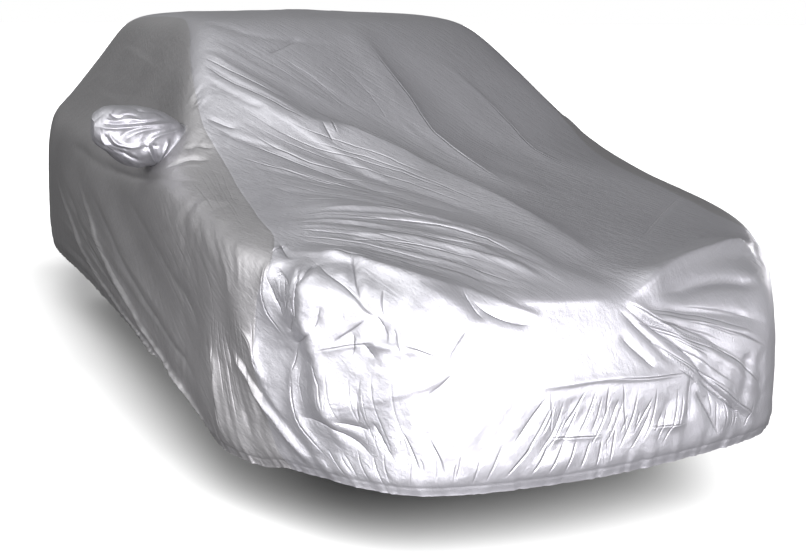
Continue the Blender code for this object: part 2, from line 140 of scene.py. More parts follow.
# Height of the hem along each side panel, from the front end to the rear end.
Hem = namedtuple("Hem", "y left_z right_z")
SIDE_HEM = [
    Hem(-2.040, -1.140, -1.050),
    Hem(-1.945, -1.160, -1.060),
    Hem(-1.700, -1.164, -1.090),
    Hem(-1.420, -1.110, -1.090),
    Hem(-1.170, -1.058, -1.065),
    Hem(-0.600, -1.048, -1.055),
    Hem(0.070, -1.034, -1.045),
    Hem(0.850, -1.043, -1.040),
    Hem(1.370, -1.030, -1.030),
]

# The main folds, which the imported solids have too.
Fold = namedtuple("Fold", "name height width points")
FOLDS = [
    Fold("windscreen_ridge", 0.012, 0.060,
         [(-0.02, -0.66, -0.08), (0.02, -1.17, -0.37), (0.11, -1.44, -0.47), (0.18, -1.56, -0.50)]),
    Fold("windscreen_hollow", -0.012, 0.090,
         [(0.10, -0.80, -0.15), (0.20, -1.15, -0.38), (0.34, -1.36, -0.46)]),
    Fold("bonnet_band", 0.012, 0.075,
         [(-0.56, -0.68, -0.20), (-0.43, -0.95, -0.30), (-0.16, -1.39, -0.46), (0.03, -2.05, -0.59)]),
    Fold("bonnet_fan", 0.010, 0.060,
         [(-0.66, -1.75, -0.56), (-0.41, -1.95, -0.58), (-0.21, -2.19, -0.61), (0.00, -2.34, -0.65)]),
    Fold("bonnet_lip", 0.012, 0.055,
         [(0.08, -2.38, -0.67), (0.23, -2.30, -0.64), (0.39, -2.22, -0.62), (0.64, -2.07, -0.62)]),
    Fold("front_hollow", -0.014, 0.080,
         [(0.18, -2.42, -0.74), (0.40, -2.33, -0.72), (0.60, -2.20, -0.72)]),
    Fold("bulge_left", 0.012, 0.090,
         [(-0.62, -2.13, -0.66), (-0.66, -2.08, -0.76)]),
    Fold("bulge_hollow", -0.012, 0.060,
         [(-0.52, -2.27, -0.72), (-0.68, -2.12, -0.82), (-0.74, -2.00, -0.80)]),
    Fold("imprint_top", 0.008, 0.060,
         [(-0.28, -2.44, -0.87), (0.22, -2.44, -0.87)]),
    Fold("wing_ridge", 0.012, 0.060,
         [(-0.81, -1.85, -0.72), (-0.79, -1.91, -0.85), (-0.71, -2.07, -1.02), (-0.63, -2.22, -1.11)]),
    Fold("wing_hollow", -0.012, 0.070,
         [(-0.82, -1.75, -0.74), (-0.82, -1.80, -0.90), (-0.77, -1.94, -1.08)]),
    Fold("door_ridge", 0.013, 0.080,
         [(-0.85, -0.02, -0.63), (-0.86, -0.60, -0.80), (-0.86, -1.30, -0.95), (-0.82, -1.78, -1.10)]),
    Fold("door_hollow", -0.011, 0.090,
         [(-0.85, -0.35, -0.60), (-0.86, -0.95, -0.77), (-0.85, -1.50, -0.90)]),
    Fold("rear_door_ridge", 0.010, 0.080,
         [(-0.85, 0.60, -0.66), (-0.86, -0.10, -0.86), (-0.86, -1.02, -1.00)]),
    Fold("right_door_ridge", 0.011, 0.085,
         [(0.85, 0.40, -0.62), (0.86, -0.35, -0.80), (0.86, -1.15, -0.98)]),
    Fold("right_wing_ridge", 0.011, 0.070,
         [(0.82, -1.45, -0.68), (0.82, -1.78, -0.86), (0.76, -1.98, -1.02)]),
    Fold("roof_swag", -0.008, 0.160,
         [(-0.35, 0.35, -0.01), (0.05, 0.50, -0.01), (0.38, 0.42, -0.01)]),
    Fold("rear_swag", 0.011, 0.080,
         [(-0.45, 0.85, -0.15), (0.05, 1.05, -0.18), (0.48, 0.95, -0.25)]),
    Fold("rear_wall_ridge", 0.010, 0.070,
         [(-0.30, 1.46, -0.60), (-0.12, 1.50, -0.85), (0.02, 1.50, -1.00)]),
]

# The mirror pockets: sections from the seam outwards. Out is from the side panel, lean is how closely the
# section follows the slant of the panel, rise and shift move its middle up and along, and the other two
# columns are its half sizes.
Section = namedtuple("Section", "out lean rise shift half_height half_length")
POCKET_MIDDLE_Y = -0.840
POCKET_MIDDLE_Z = -0.418
LEFT_POCKET = [
    Section(0.014, 1.0, 0.000, 0.000, 0.066, 0.078),
    Section(0.059, 0.6, 0.016, -0.004, 0.086, 0.090),
    Section(0.114, 0.4, 0.036, -0.008, 0.092, 0.092),
    Section(0.169, 0.2, 0.053, -0.010, 0.081, 0.084),
    Section(0.214, 0.1, 0.061, -0.012, 0.061, 0.066),
    Section(0.240, 0.0, 0.058, -0.012, 0.036, 0.042),
]
RIGHT_POCKET = [
    Section(0.006, 1.0, 0.000, 0.000, 0.066, 0.078),
    Section(0.010, 1.0, 0.000, 0.000, 0.060, 0.072),
    Section(0.013, 1.0, -0.002, 0.001, 0.046, 0.056),
    Section(0.014, 1.0, -0.003, 0.002, 0.026, 0.034),
]
POCKET_TURN_IN = 0.014
# How full the corners of a section are, from 1 for an ellipse down to 0 for a rectangle, and the length
# around a pocket that its finish counts with.
POCKET_FULLNESS = 0.85
POCKET_GIRTH = 0.52
CLOTH_HALF = 0.00075
# A distance that is larger than any on the cover.
FAR_AWAY = 9.0

# ---------------------------------------------------------------------------------------------------------
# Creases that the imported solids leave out. A crease is a ridge (height above 0) or a trough along a route on
# the form. Left and right are how wide it falls away on each side, seen from outside by someone who walks
# the route from its first point. A route of pairs is given in pixels of the photograph's frame and falls on
# the form where the camera sees it; a route of threes is in metres.
Crease = namedtuple("Crease", "name height left right route")
CREASES = [
    # broad folds that turn whole patches of cloth towards the light
    Crease("band_broad", 0.0280, 0.060, 0.160,
           [(215, 66), (262, 100), (312, 130), (372, 147), (460, 191), (562, 244), (600, 262)]),
    Crease("bonnet_broad", 0.0260, 0.100, 0.130,
           [(268, 212), (340, 212), (420, 226), (500, 252), (590, 288)]),
    Crease("edge_broad", 0.0220, 0.130, 0.036,
           [(290, 248), (330, 262), (365, 273), (400, 286), (440, 300), (480, 316)]),
    Crease("lip_broad", 0.0210, 0.120, 0.022,
           [(622, 301), (650, 287), (676, 274), (708, 261), (738, 253), (758, 258)]),
    Crease("corner_broad", 0.0320, 0.150, 0.070,
           [(322, 258), (308, 285), (306, 318), (316, 350), (322, 385), (330, 420), (344, 455)]),
    # slope from the roof to the bonnet
    Crease("pillar_dark", -0.0065, 0.009, 0.016,
           [(200, 62), (230, 82), (262, 101), (285, 115), (312, 131)]),
    Crease("pillar_light", 0.0045, 0.016, 0.010, [(198, 52), (235, 70), (268, 90), (300, 108)]),
    Crease("pillar_second", -0.0045, 0.010, 0.014, [(202, 76), (225, 92), (250, 108), (270, 118)]),
    Crease("pillar_short", -0.0050, 0.008, 0.010, [(207, 118), (222, 126), (240, 132)]),
    Crease("pillar_low", -0.0040, 0.009, 0.012, [(212, 128), (235, 139), (262, 147), (300, 156)]),
    Crease("band_edge", 0.0120, 0.010, 0.052,
           [(296, 106), (340, 130), (372, 147), (415, 168), (460, 191), (520, 222), (562, 244)]),
    Crease("band_crinkle", -0.0022, 0.007, 0.007, [(321, 130), (327, 140), (334, 151)]),
    Crease("band_crinkle_light", 0.0018, 0.007, 0.007, [(328, 126), (333, 136), (338, 146)]),
    Crease("band_low", -0.0040, 0.016, 0.020, [(330, 168), (380, 183), (440, 205), (500, 232)]),
    Crease("long_dark", -0.0040, 0.010, 0.016, [(225, 137), (290, 160), (365, 188), (440, 212)]),
    Crease("long_low", -0.0035, 0.010, 0.016, [(240, 165), (315, 182), (415, 206), (470, 224)]),
    Crease("long_last", -0.0035, 0.010, 0.014, [(250, 186), (320, 196), (400, 214), (460, 232)]),
    Crease("screen_ridge", 0.0065, 0.014, 0.020,
           [(357, 31), (385, 67), (410, 100), (430, 132), (441, 143), (482, 172), (519, 193)]),
    Crease("screen_faint", 0.0045, 0.016, 0.026,
           [(425, 50), (480, 95), (510, 125), (535, 150), (577, 169)]),
    Crease("roof_corner_line", -0.0040, 0.010, 0.010, [(300, 37), (285, 45), (268, 54)]),
    Crease("roof_edge_line", -0.0040, 0.020, 0.020, [(196, 24), (240, 32), (290, 40), (345, 46)]),
    Crease("bonnet_faint", -0.0035, 0.012, 0.022, [(682, 194), (662, 213), (640, 241)]),
    # bonnet section, down to its front edge
    Crease("bonnet_streak_a", 0.0060, 0.010, 0.014,
           [(266, 224), (340, 227), (400, 237), (457, 251), (512, 270), (546, 285)]),
    Crease("bonnet_streak_b", 0.0070, 0.010, 0.014,
           [(296, 236), (390, 243), (440, 254), (500, 269), (560, 287)]),
    Crease("bonnet_streak_c", -0.0060, 0.010, 0.014, [(288, 240), (370, 255), (430, 268), (505, 287)]),
    Crease("bonnet_streak_d", 0.0050, 0.009, 0.012, [(280, 232), (350, 238), (420, 252), (480, 270)]),
    Crease("bonnet_edge", 0.0120, 0.045, 0.011,
           [(286, 250), (330, 262), (365, 273), (400, 284), (432, 291), (464, 292)]),
    Crease("bonnet_edge_right", 0.0090, 0.045, 0.016, [(505, 300), (540, 304), (580, 303), (617, 299)]),
    Crease("fold_under_edge", -0.0070, 0.010, 0.013, [(461, 292), (472, 305), (486, 321)]),
    Crease("fold_beside_edge", -0.0070, 0.010, 0.014, [(468, 299), (492, 314), (515, 322), (538, 326)]),
    Crease("fold_over_edge", 0.0060, 0.010, 0.012, [(452, 289), (482, 297), (520, 311), (542, 318)]),
    Crease("lip_band", 0.0150, 0.045, 0.012,
           [(626, 300), (650, 287), (676, 274), (708, 261), (738, 253), (758, 258)]),
    Crease("lip_hollow", -0.0260, 0.016, 0.060,
           [(652, 299), (684, 284), (714, 275), (742, 274), (764, 284)]),
    # left front corner, where the cloth is crumpled over a bulge
    Crease("bulge_v_left", -0.0080, 0.008, 0.010,
           [(312, 262), (304, 274), (303, 290), (306, 303), (304, 316), (312, 332)]),
    Crease("bulge_v_right", -0.0090, 0.007, 0.009, [(317, 266), (311, 278), (303, 290)]),
    Crease("bulge_bump", 0.0060, 0.012, 0.012, [(297, 268), (301, 275), (305, 282)]),
    Crease("bulge_tick", -0.0090, 0.006, 0.009, [(329, 306), (325, 318), (321, 331)]),
    Crease("bulge_outer_edge", 0.0050, 0.014, 0.010,
           [(273, 257), (264, 275), (264, 296), (274, 320), (292, 342)]),
    Crease("bulge_inner_edge", -0.0080, 0.010, 0.012,
           [(306, 257), (330, 279), (350, 291), (364, 306), (376, 316)]),
    Crease("bulge_edge_drop", -0.0090, 0.008, 0.012, [(350, 264), (355, 280), (362, 304)]),
    Crease("bulge_ledge", 0.0090, 0.010, 0.018,
           [(318, 352), (345, 345), (375, 344), (408, 350), (440, 358)]),
    Crease("bulge_ledge_dark", -0.0060, 0.010, 0.010, [(330, 347), (352, 331), (378, 316)]),
    Crease("bulge_diagonal", -0.0080, 0.008, 0.010, [(376, 314), (384, 330), (391, 346)]),
    Crease("bulge_diagonal_b", -0.0070, 0.008, 0.010, [(393, 327), (398, 342), (402, 356)]),
    Crease("bulge_diagonal_c", -0.0070, 0.008, 0.010, [(364, 341), (371, 350), (379, 358)]),
    Crease("bulge_diagonal_d", -0.0070, 0.008, 0.010, [(353, 331), (356, 344), (355, 356)]),
    Crease("bulge_low_cross", -0.0080, 0.008, 0.010, [(296, 344), (308, 338), (322, 332)]),
    Crease("bulge_low_short", -0.0080, 0.007, 0.009, [(292, 333), (297, 323), (301, 314)]),
    Crease("bulge_star", 0.0080, 0.006, 0.006, [(272, 252), (280, 248), (288, 245)]),
    Crease("bulge_star_cross", -0.0070, 0.006, 0.008, [(279, 242), (286, 252), (292, 260)]),
    Crease("bulge_side_fold", -0.0080, 0.010, 0.012, [(276, 262), (284, 276), (297, 290)]),
    Crease("bulge_side_fold_b", -0.0070, 0.010, 0.012, [(270, 276), (278, 296), (292, 314)]),
    # left front corner, below the bulge
    Crease("corner_edge", -0.0080, 0.010, 0.012, [(317, 350), (322, 366), (327, 381), (335, 416)]),
    Crease("corner_light", 0.0080, 0.012, 0.016,
           [(300, 346), (296, 372), (297, 398), (306, 422), (336, 466)]),
    Crease("corner_diagonal", -0.0070, 0.010, 0.012, [(302, 413), (327, 421), (352, 437), (378, 463)]),
    Crease("corner_diagonal_b", -0.0070, 0.010, 0.012, [(340, 419), (356, 424), (374, 433)]),
    Crease("corner_strip", 0.0170, 0.060, 0.020,
           [(310, 308), (319, 345), (327, 385), (338, 425), (356, 462)]),
    Crease("corner_drop", -0.0050, 0.008, 0.010, [(360, 386), (361, 404), (363, 426)]),
    Crease("corner_drop_b", -0.0060, 0.008, 0.010, [(372, 420), (382, 440), (396, 463)]),
    Crease("wing_white", 0.0130, 0.012, 0.014,
           [(227, 344), (237, 360), (246, 376), (260, 400), (281, 426), (302, 450), (314, 467)]),
    Crease("wing_white_low", -0.0080, 0.010, 0.010,
           [(236, 350), (250, 375), (270, 402), (296, 432), (322, 464)]),
    Crease("wing_light", 0.0070, 0.009, 0.010,
           [(240, 325), (252, 340), (257, 356), (264, 370), (276, 388)]),
    Crease("wing_upright", 0.0090, 0.012, 0.014,
           [(207, 335), (214, 365), (217, 395), (222, 420), (230, 446)]),
    Crease("wing_upright_dark", -0.0070, 0.012, 0.016, [(222, 335), (228, 365), (238, 400), (252, 440)]),
    # front wall, with the square imprint in its middle
    Crease("front_tick", -0.0080, 0.006, 0.008, [(470, 328), (458, 345), (447, 362)]),
    Crease("front_thin", -0.0050, 0.006, 0.008, [(453, 374), (440, 387), (424, 398)]),
    Crease("pucker_long", -0.0100, 0.010, 0.010,
           [(614, 300), (650, 325), (685, 351), (711, 385), (752, 425)]),
    Crease("pucker_light", 0.0070, 0.012, 0.012, [(622, 299), (655, 317), (690, 344), (722, 384)]),
    Crease("pucker_middle", -0.0080, 0.008, 0.009, [(616, 308), (645, 335), (678, 368)]),
    Crease("pucker_short", -0.0070, 0.008, 0.009, [(617, 333), (636, 351), (656, 371)]),
    Crease("ray_upper", -0.0080, 0.014, 0.016, [(640, 306), (690, 310), (730, 314), (770, 322)]),
    Crease("ray_upper_light", 0.0070, 0.012, 0.014, [(650, 315), (700, 322), (768, 338)]),
    Crease("ray_middle", -0.0070, 0.012, 0.014, [(680, 330), (720, 345), (764, 372)]),
    Crease("ray_middle_light", 0.0070, 0.012, 0.014, [(700, 345), (730, 365), (760, 396)]),
    Crease("ray_low", -0.0080, 0.010, 0.012, [(695, 375), (720, 398), (752, 424)]),
    Crease("ray_low_light", 0.0060, 0.010, 0.010, [(704, 374), (730, 396), (757, 418)]),
    Crease("ray_last", -0.0060, 0.010, 0.012, [(693, 388), (707, 412), (722, 438)]),
    Crease("imprint_top", 0.0060, 0.018, 0.006,
           [(520, 390), (570, 384), (612, 379), (655, 377), (691, 371)]),
    Crease("imprint_right", -0.0060, 0.014, 0.005, [(691, 372), (690, 398), (688, 423)]),
    Crease("imprint_low", 0.0050, 0.008, 0.012, [(646, 428), (668, 425), (689, 422)]),
    Crease("imprint_low_line", 0.0045, 0.008, 0.010, [(545, 438), (575, 436), (606, 435)]),
    # left side panel
    Crease("door_light_a", 0.0150, 0.007, 0.011,
           [(77, 177), (90, 212), (104, 250), (125, 288), (150, 331), (175, 375), (200, 411), (226, 446)]),
    Crease("door_dark_a", -0.0080, 0.018, 0.026,
           [(88, 180), (104, 218), (125, 262), (150, 305), (180, 352), (205, 390)]),
    Crease("door_light_b", 0.0130, 0.007, 0.010,
           [(54, 172), (67, 207), (85, 250), (120, 307), (160, 365), (188, 398)]),
    Crease("door_dark_b", -0.0070, 0.016, 0.020,
           [(64, 176), (78, 212), (98, 256), (134, 314), (168, 360)]),
    Crease("door_soft", -0.0060, 0.030, 0.036, [(120, 190), (150, 240), (185, 300), (205, 350)]),
    Crease("waist_line", -0.0070, 0.022, 0.032,
           [(68, 142), (84, 152), (112, 172), (160, 178), (215, 186)]),
    Crease("pocket_fold", -0.0090, 0.010, 0.012, [(164, 169), (176, 163), (190, 159), (214, 162)]),
    Crease("pocket_fold_light", 0.0020, 0.010, 0.010, [(168, 175), (186, 166), (206, 166)]),
    Crease("pocket_fold_upper", -0.0050, 0.010, 0.010, [(184, 150), (198, 146), (216, 150)]),
    Crease("pocket_under", -0.0060, 0.012, 0.016, [(98, 158), (118, 172), (142, 178), (162, 176)]),
    # right side panel, which the photograph hides, finished plainly
    Crease("right_door_light", 0.0090, 0.024, 0.030,
           [(0.86, 0.55, -0.68), (0.86, -0.20, -0.80), (0.86, -0.90, -0.92), (0.84, -1.50, -1.04)]),
    Crease("right_door_low", 0.0080, 0.022, 0.028,
           [(0.86, 0.90, -0.75), (0.86, 0.20, -0.90), (0.86, -0.60, -1.00)]),
    Crease("right_waist_soft", -0.0060, 0.030, 0.040,
           [(0.85, -0.30, -0.55), (0.84, -1.10, -0.56), (0.78, -1.60, -0.56)]),
    Crease("right_wing_dark", -0.0080, 0.014, 0.018,
           [(0.80, -1.86, -0.70), (0.79, -1.90, -0.86), (0.76, -1.98, -1.02)]),
    # tail, hidden too, finished plainly
    Crease("tail_corner_left", 0.0100, 0.020, 0.026,
           [(-0.60, 1.22, -0.44), (-0.62, 1.34, -0.66), (-0.50, 1.44, -0.98)]),
    Crease("tail_corner_right", 0.0100, 0.026, 0.020,
           [(0.60, 1.22, -0.44), (0.62, 1.34, -0.66), (0.50, 1.44, -0.98)]),
    Crease("tail_ledge", -0.0080, 0.030, 0.030,
           [(-0.50, 1.30, -0.42), (-0.10, 1.42, -0.44), (0.45, 1.32, -0.42)]),
]

# A fan is a run of like creases between two guide routes. Spread is how unevenly they stand.
Fan = namedtuple("Fan", "name count height left right spread first last")
FANS = [
    Fan("bonnet_lines", 22, 0.0042, 0.008, 0.011, 0.40,
        [(266, 214), (340, 214), (430, 224), (545, 268)],
        [(284, 248), (340, 262), (410, 282), (500, 296)]),
    Fan("bonnet_tails", 12, 0.0030, 0.008, 0.011, 0.40,
        [(400, 222), (460, 232), (520, 252), (590, 284)],
        [(390, 262), (450, 274), (510, 290), (560, 298)]),
    Fan("screen_lines", 16, 0.0026, 0.010, 0.015, 0.45,
        [(204, 66), (260, 108), (330, 152), (430, 204)],
        [(258, 208), (320, 208), (390, 220), (470, 244)]),
    Fan("screen_high_lines", 7, 0.0020, 0.014, 0.020, 0.45,
        [(200, 40), (260, 70), (330, 104), (400, 140)],
        [(350, 60), (390, 95), (430, 140), (500, 190)]),
    Fan("roof_lines", 7, 0.0020, 0.030, 0.040, 0.50,
        [(-0.45, -0.10, -0.02), (-0.40, 0.40, -0.02), (-0.30, 0.80, -0.06)],
        [(0.40, -0.20, -0.02), (0.35, 0.35, -0.02), (0.42, 0.85, -0.08)]),
    Fan("tail_lines", 12, 0.0060, 0.020, 0.026, 0.45,
        [(-0.58, 1.20, -0.45), (-0.50, 1.38, -0.70), (-0.42, 1.44, -0.98)],
        [(0.58, 1.20, -0.45), (0.48, 1.38, -0.70), (0.38, 1.44, -0.98)]),
    Fan("rear_screen_lines", 7, 0.0035, 0.026, 0.032, 0.45,
        [(-0.50, 0.85, -0.14), (-0.40, 1.05, -0.26), (-0.52, 1.20, -0.40)],
        [(0.48, 0.80, -0.12), (0.42, 1.05, -0.26), (0.50, 1.22, -0.42)]),
    Fan("imprint_pleats", 12, -0.0036, 0.008, 0.011, 0.45,
        [(548, 392), (540, 420), (512, 470)],
        [(688, 378), (684, 420), (668, 452)]),
    Fan("front_pleats", 9, -0.0036, 0.008, 0.012, 0.45,
        [(400, 400), (396, 440), (400, 480)],
        [(548, 396), (520, 440), (500, 478)]),
    Fan("corner_pleats", 6, -0.0040, 0.010, 0.014, 0.45,
        [(690, 350), (700, 395), (712, 440)],
        [(768, 330), (764, 380), (756, 424)]),
    Fan("left_door_lines", 12, 0.0034, 0.016, 0.020, 0.45,
        [(60, 150), (90, 200), (140, 270), (215, 380)],
        [(52, 240), (80, 268), (120, 320), (190, 400)]),
    Fan("left_wing_lines", 12, 0.0048, 0.009, 0.012, 0.40,
        [(205, 330), (212, 380), (226, 440)],
        [(262, 330), (272, 380), (310, 460)]),
    Fan("left_hip_lines", 8, 0.0034, 0.014, 0.018, 0.45,
        [(170, 185), (200, 240), (220, 300)],
        [(255, 235), (252, 262), (246, 300)]),
    Fan("right_door_lines", 11, 0.0034, 0.020, 0.026, 0.45,
        [(0.84, 0.90, -0.62), (0.84, 0.10, -0.62), (0.84, -0.70, -0.68), (0.84, -1.35, -0.80)],
        [(0.86, 0.80, -1.00), (0.86, 0.10, -1.00), (0.86, -0.60, -1.02), (0.85, -1.25, -1.05)]),
    Fan("right_wing_lines", 8, 0.0048, 0.012, 0.016, 0.40,
        [(0.84, -1.62, -0.70), (0.84, -1.66, -0.88), (0.82, -1.75, -1.02)],
        [(0.78, -1.93, -0.66), (0.78, -1.93, -0.84), (0.74, -2.02, -1.00)]),
    Fan("left_glass_lines", 6, 0.0018, 0.020, 0.026, 0.50,
        [(-0.56, 0.80, -0.12), (-0.56, 0.20, -0.12), (-0.60, -0.40, -0.18)],
        [(-0.76, 0.90, -0.45), (-0.76, 0.10, -0.45), (-0.76, -0.70, -0.47)]),
    Fan("right_glass_lines", 6, 0.0018, 0.020, 0.026, 0.50,
        [(0.56, 0.80, -0.12), (0.56, 0.20, -0.12), (0.60, -0.40, -0.18)],
        [(0.76, 0.90, -0.45), (0.76, 0.10, -0.45), (0.76, -0.70, -0.47)]),
]

# Creases pressed sharply into the cloth, as thin lines that the finish draws with painted shade in them, in
# pixels as above.
PRESSED = [
    [(200, 64), (230, 84), (262, 103), (285, 117), (310, 131)], [(199, 58), (240, 78), (290, 108)],
    [(208, 119), (224, 127), (240, 132)], [(226, 138), (290, 161), (365, 189), (440, 213)],
    [(236, 158), (300, 176), (372, 196)],
    [(296, 107), (340, 131), (372, 148), (415, 169), (460, 192), (558, 242)], [(322, 131), (333, 150)],
    [(329, 127), (337, 144)], [(300, 38), (285, 46), (268, 54)],
    [(358, 33), (385, 68), (410, 101), (430, 133), (441, 144), (482, 173), (517, 192)],
    [(480, 95), (510, 125), (535, 150), (575, 168)], [(680, 196), (660, 215), (641, 240)],
    [(280, 228), (340, 231), (400, 241), (457, 255), (512, 274)],
    [(300, 240), (390, 247), (440, 258), (500, 273)], [(320, 222), (400, 229), (470, 246), (530, 270)],
    [(350, 246), (410, 257), (470, 272), (530, 290)], [(288, 242), (370, 257), (430, 270), (500, 287)],
    [(310, 256), (360, 268), (430, 286)], [(308, 264), (303, 280), (304, 296), (304, 316), (311, 330)],
    [(315, 267), (309, 278), (304, 288)], [(328, 307), (325, 318), (321, 330)],
    [(292, 332), (297, 322), (301, 314)], [(273, 257), (264, 276), (264, 296), (274, 320), (291, 341)],
    [(297, 343), (308, 338), (321, 332)], [(350, 265), (356, 282), (362, 305)],
    [(308, 258), (330, 280), (350, 292), (368, 312), (377, 316)], [(377, 315), (384, 330), (390, 345)],
    [(333, 344), (343, 337), (353, 330), (368, 318)], [(353, 332), (357, 344), (354, 356)],
    [(364, 342), (370, 350), (378, 358)], [(393, 328), (397, 342), (401, 356)],
    [(400, 345), (420, 350), (440, 358)], [(322, 350), (352, 345), (380, 344)], [(385, 292), (384, 318)],
    [(272, 253), (287, 246)], [(280, 243), (290, 259)], [(276, 263), (286, 278), (298, 291)],
    [(284, 270), (292, 300), (290, 318)], [(268, 280), (278, 300), (288, 318)],
    [(469, 328), (458, 345), (447, 362)], [(452, 375), (440, 387), (425, 397)],
    [(240, 325), (252, 340), (257, 356), (266, 372)],
    [(228, 346), (246, 377), (260, 401), (281, 427), (312, 466)],
    [(295, 372), (297, 398), (306, 422), (335, 465)], [(300, 347), (295, 372)],
    [(317, 350), (322, 366), (327, 380), (335, 415)], [(303, 414), (327, 421), (352, 437), (377, 462)],
    [(340, 420), (356, 425), (372, 432)], [(360, 387), (361, 405), (362, 425)],
    [(372, 420), (382, 440), (395, 462)], [(400, 430), (412, 452), (420, 475)],
    [(428, 436), (440, 458), (446, 478)], [(462, 292), (472, 306), (485, 320)],
    [(470, 300), (492, 315), (515, 323), (535, 326)],
    [(615, 301), (650, 326), (685, 351), (711, 385), (751, 425)], [(616, 308), (645, 335), (677, 367)],
    [(618, 334), (636, 352), (655, 370)], [(625, 302), (655, 317), (687, 333)],
    [(650, 318), (690, 330), (730, 352)], [(690, 373), (689, 398), (688, 422)],
    [(647, 427), (668, 425), (688, 422)], [(610, 379), (655, 377), (690, 372)],
    [(547, 395), (530, 420), (510, 450)], [(550, 390), (551, 414), (550, 437)],
    [(607, 385), (606, 402), (605, 420)], [(585, 390), (574, 410), (560, 432)],
    [(622, 380), (624, 410), (626, 440)], [(652, 395), (643, 415), (632, 435)],
    [(547, 437), (575, 437), (605, 435)], [(535, 442), (520, 460), (505, 477)],
    [(550, 440), (542, 458), (530, 476)], [(565, 438), (558, 455), (548, 474)],
    [(577, 438), (572, 455), (565, 472)], [(592, 437), (586, 454), (580, 470)],
    [(602, 436), (600, 452), (596, 468)], [(615, 425), (613, 445), (610, 464)],
    [(695, 375), (720, 398), (750, 422)], [(693, 387), (707, 412), (721, 438)],
    [(704, 374), (732, 398), (757, 418)], [(700, 322), (735, 332), (768, 348)],
    [(712, 345), (740, 362), (762, 388)], [(77, 178), (104, 251), (150, 332), (200, 412), (225, 445)],
    [(55, 175), (85, 251), (120, 308), (187, 397)], [(207, 336), (214, 366), (217, 396), (229, 444)],
    [(165, 168), (177, 163), (191, 159), (213, 162)], [(183, 151), (198, 147), (215, 150)],
]
# How far beside a line its facts reach, how many layers hold the lines, how far from halfway between two
# lines of one layer they fade out, and the share of its run over which a line's end does.
PRESSED_REACH = 0.018
LINE_LAYERS = 4
LINE_GAP = 0.006
LINE_END = 0.3

# A fan of pressed lines between two guide routes, in pixels; its depth is a share of a full line's.
LineFan = namedtuple("LineFan", "name count depth first last")
LINE_FANS = [
    LineFan("screen", 12, 0.55,
            [(204, 70), (280, 122), (400, 172), (520, 228)],
            [(232, 180), (330, 204), (400, 214), (480, 240)]),
    LineFan("screen_low", 8, 0.50,
            [(236, 182), (320, 200), (400, 212), (480, 238)],
            [(262, 214), (330, 212), (400, 222), (500, 250)]),
    LineFan("roof", 5, 0.22, [(205, 44), (270, 74), (330, 108)], [(330, 52), (370, 90), (410, 140)]),
    LineFan("bonnet", 14, 0.60,
            [(268, 218), (360, 222), (460, 242), (590, 284)],
            [(282, 246), (350, 262), (430, 284), (500, 300)]),
    LineFan("imprint", 20, 0.75,
            [(552, 392), (536, 430), (508, 474)],
            [(686, 380), (682, 416), (668, 450)]),
    LineFan("front_hem", 13, 0.60,
            [(322, 444), (332, 462), (346, 484)],
            [(508, 440), (500, 460), (490, 484)]),
    LineFan("corner_rays", 12, 0.70,
            [(626, 304), (700, 306), (766, 318)],
            [(618, 330), (680, 372), (742, 426)]),
    LineFan("corner_drop", 7, 0.60,
            [(700, 380), (706, 410), (712, 440)],
            [(760, 392), (752, 412), (742, 432)]),
    LineFan("wing", 12, 0.60, [(206, 300), (212, 366), (226, 438)], [(256, 300), (264, 366), (306, 446)]),
    LineFan("bulge", 5, 0.45, [(266, 262), (274, 300), (292, 332)], [(298, 262), (296, 296), (308, 326)]),
    LineFan("corner", 8, 0.40, [(296, 352), (298, 392), (330, 458)], [(404, 366), (400, 410), (420, 474)]),
    LineFan("door", 9, 0.45, [(66, 170), (100, 240), (180, 372)], [(58, 220), (90, 268), (170, 372)]),
    LineFan("door_front", 9, 0.35,
            [(120, 190), (160, 270), (208, 372)],
            [(200, 200), (214, 280), (214, 380)]),
    LineFan("hip", 7, 0.20, [(176, 172), (200, 196), (240, 250)], [(214, 150), (232, 190), (262, 234)]),
]

# A crumpled patch: cloth pushed together into facets about a pitch wide, highest at its middle and gone a
# little past its radius.
Crumple = namedtuple("Crumple", "name height pitch radius middle")
CRUMPLES = [
    Crumple("bulge", 0.0085, 0.055, 0.150, (-0.68, -2.08, -0.71)),
    Crumple("bulge_corner", 0.0070, 0.055, 0.150, (-0.54, -2.28, -0.73)),
    Crumple("wing_foot", 0.0070, 0.090, 0.180, (-0.70, -2.08, -1.00)),
    Crumple("front_left", 0.0030, 0.070, 0.260, (-0.36, -2.42, -0.92)),
    Crumple("front_right", 0.0030, 0.070, 0.240, (0.42, -2.40, -0.86)),
    Crumple("seam_pucker", 0.0060, 0.034, 0.060, (-0.61, -0.80, -0.28)),
    Crumple("lip_right", 0.0030, 0.060, 0.160, (0.52, -2.16, -0.63)),
    Crumple("under_imprint", 0.0025, 0.050, 0.200, (-0.05, -2.45, -1.02)),
    Crumple("right_bulge", 0.0050, 0.080, 0.180, (0.64, -2.10, -0.74)),
    Crumple("hip", 0.0060, 0.080, 0.260, (-0.74, -1.45, -0.60)),
    Crumple("beside_pocket", 0.0040, 0.050, 0.110, (-0.66, -0.98, -0.44)),
]


# ---------------------------------------------------------------------------------------------------------
# The form
def smooth_max(values, rounding):
    """The largest of the values at each point, with the change from one to the next rounded off."""
    stacked = np.stack(values)
    top = stacked.max(axis=0)
    return top + rounding * np.log(np.exp((stacked - top) / rounding).sum(axis=0))


def beyond_flat(flat, points):
    """How far each point lies beyond a flat, in metres."""
    x, y, z = points[..., 0], points[..., 1], points[..., 2]
    level = flat.across * np.abs(x) + flat.along * y + flat.up * z
    drawn_in = flat.crown * (x / CROWN_HALF) ** 2 + flat.arch * (y - ARCH_MIDDLE) ** 2
    slant = math.hypot(flat.across, flat.along, flat.up)
    return (level + drawn_in - flat.reach) / slant


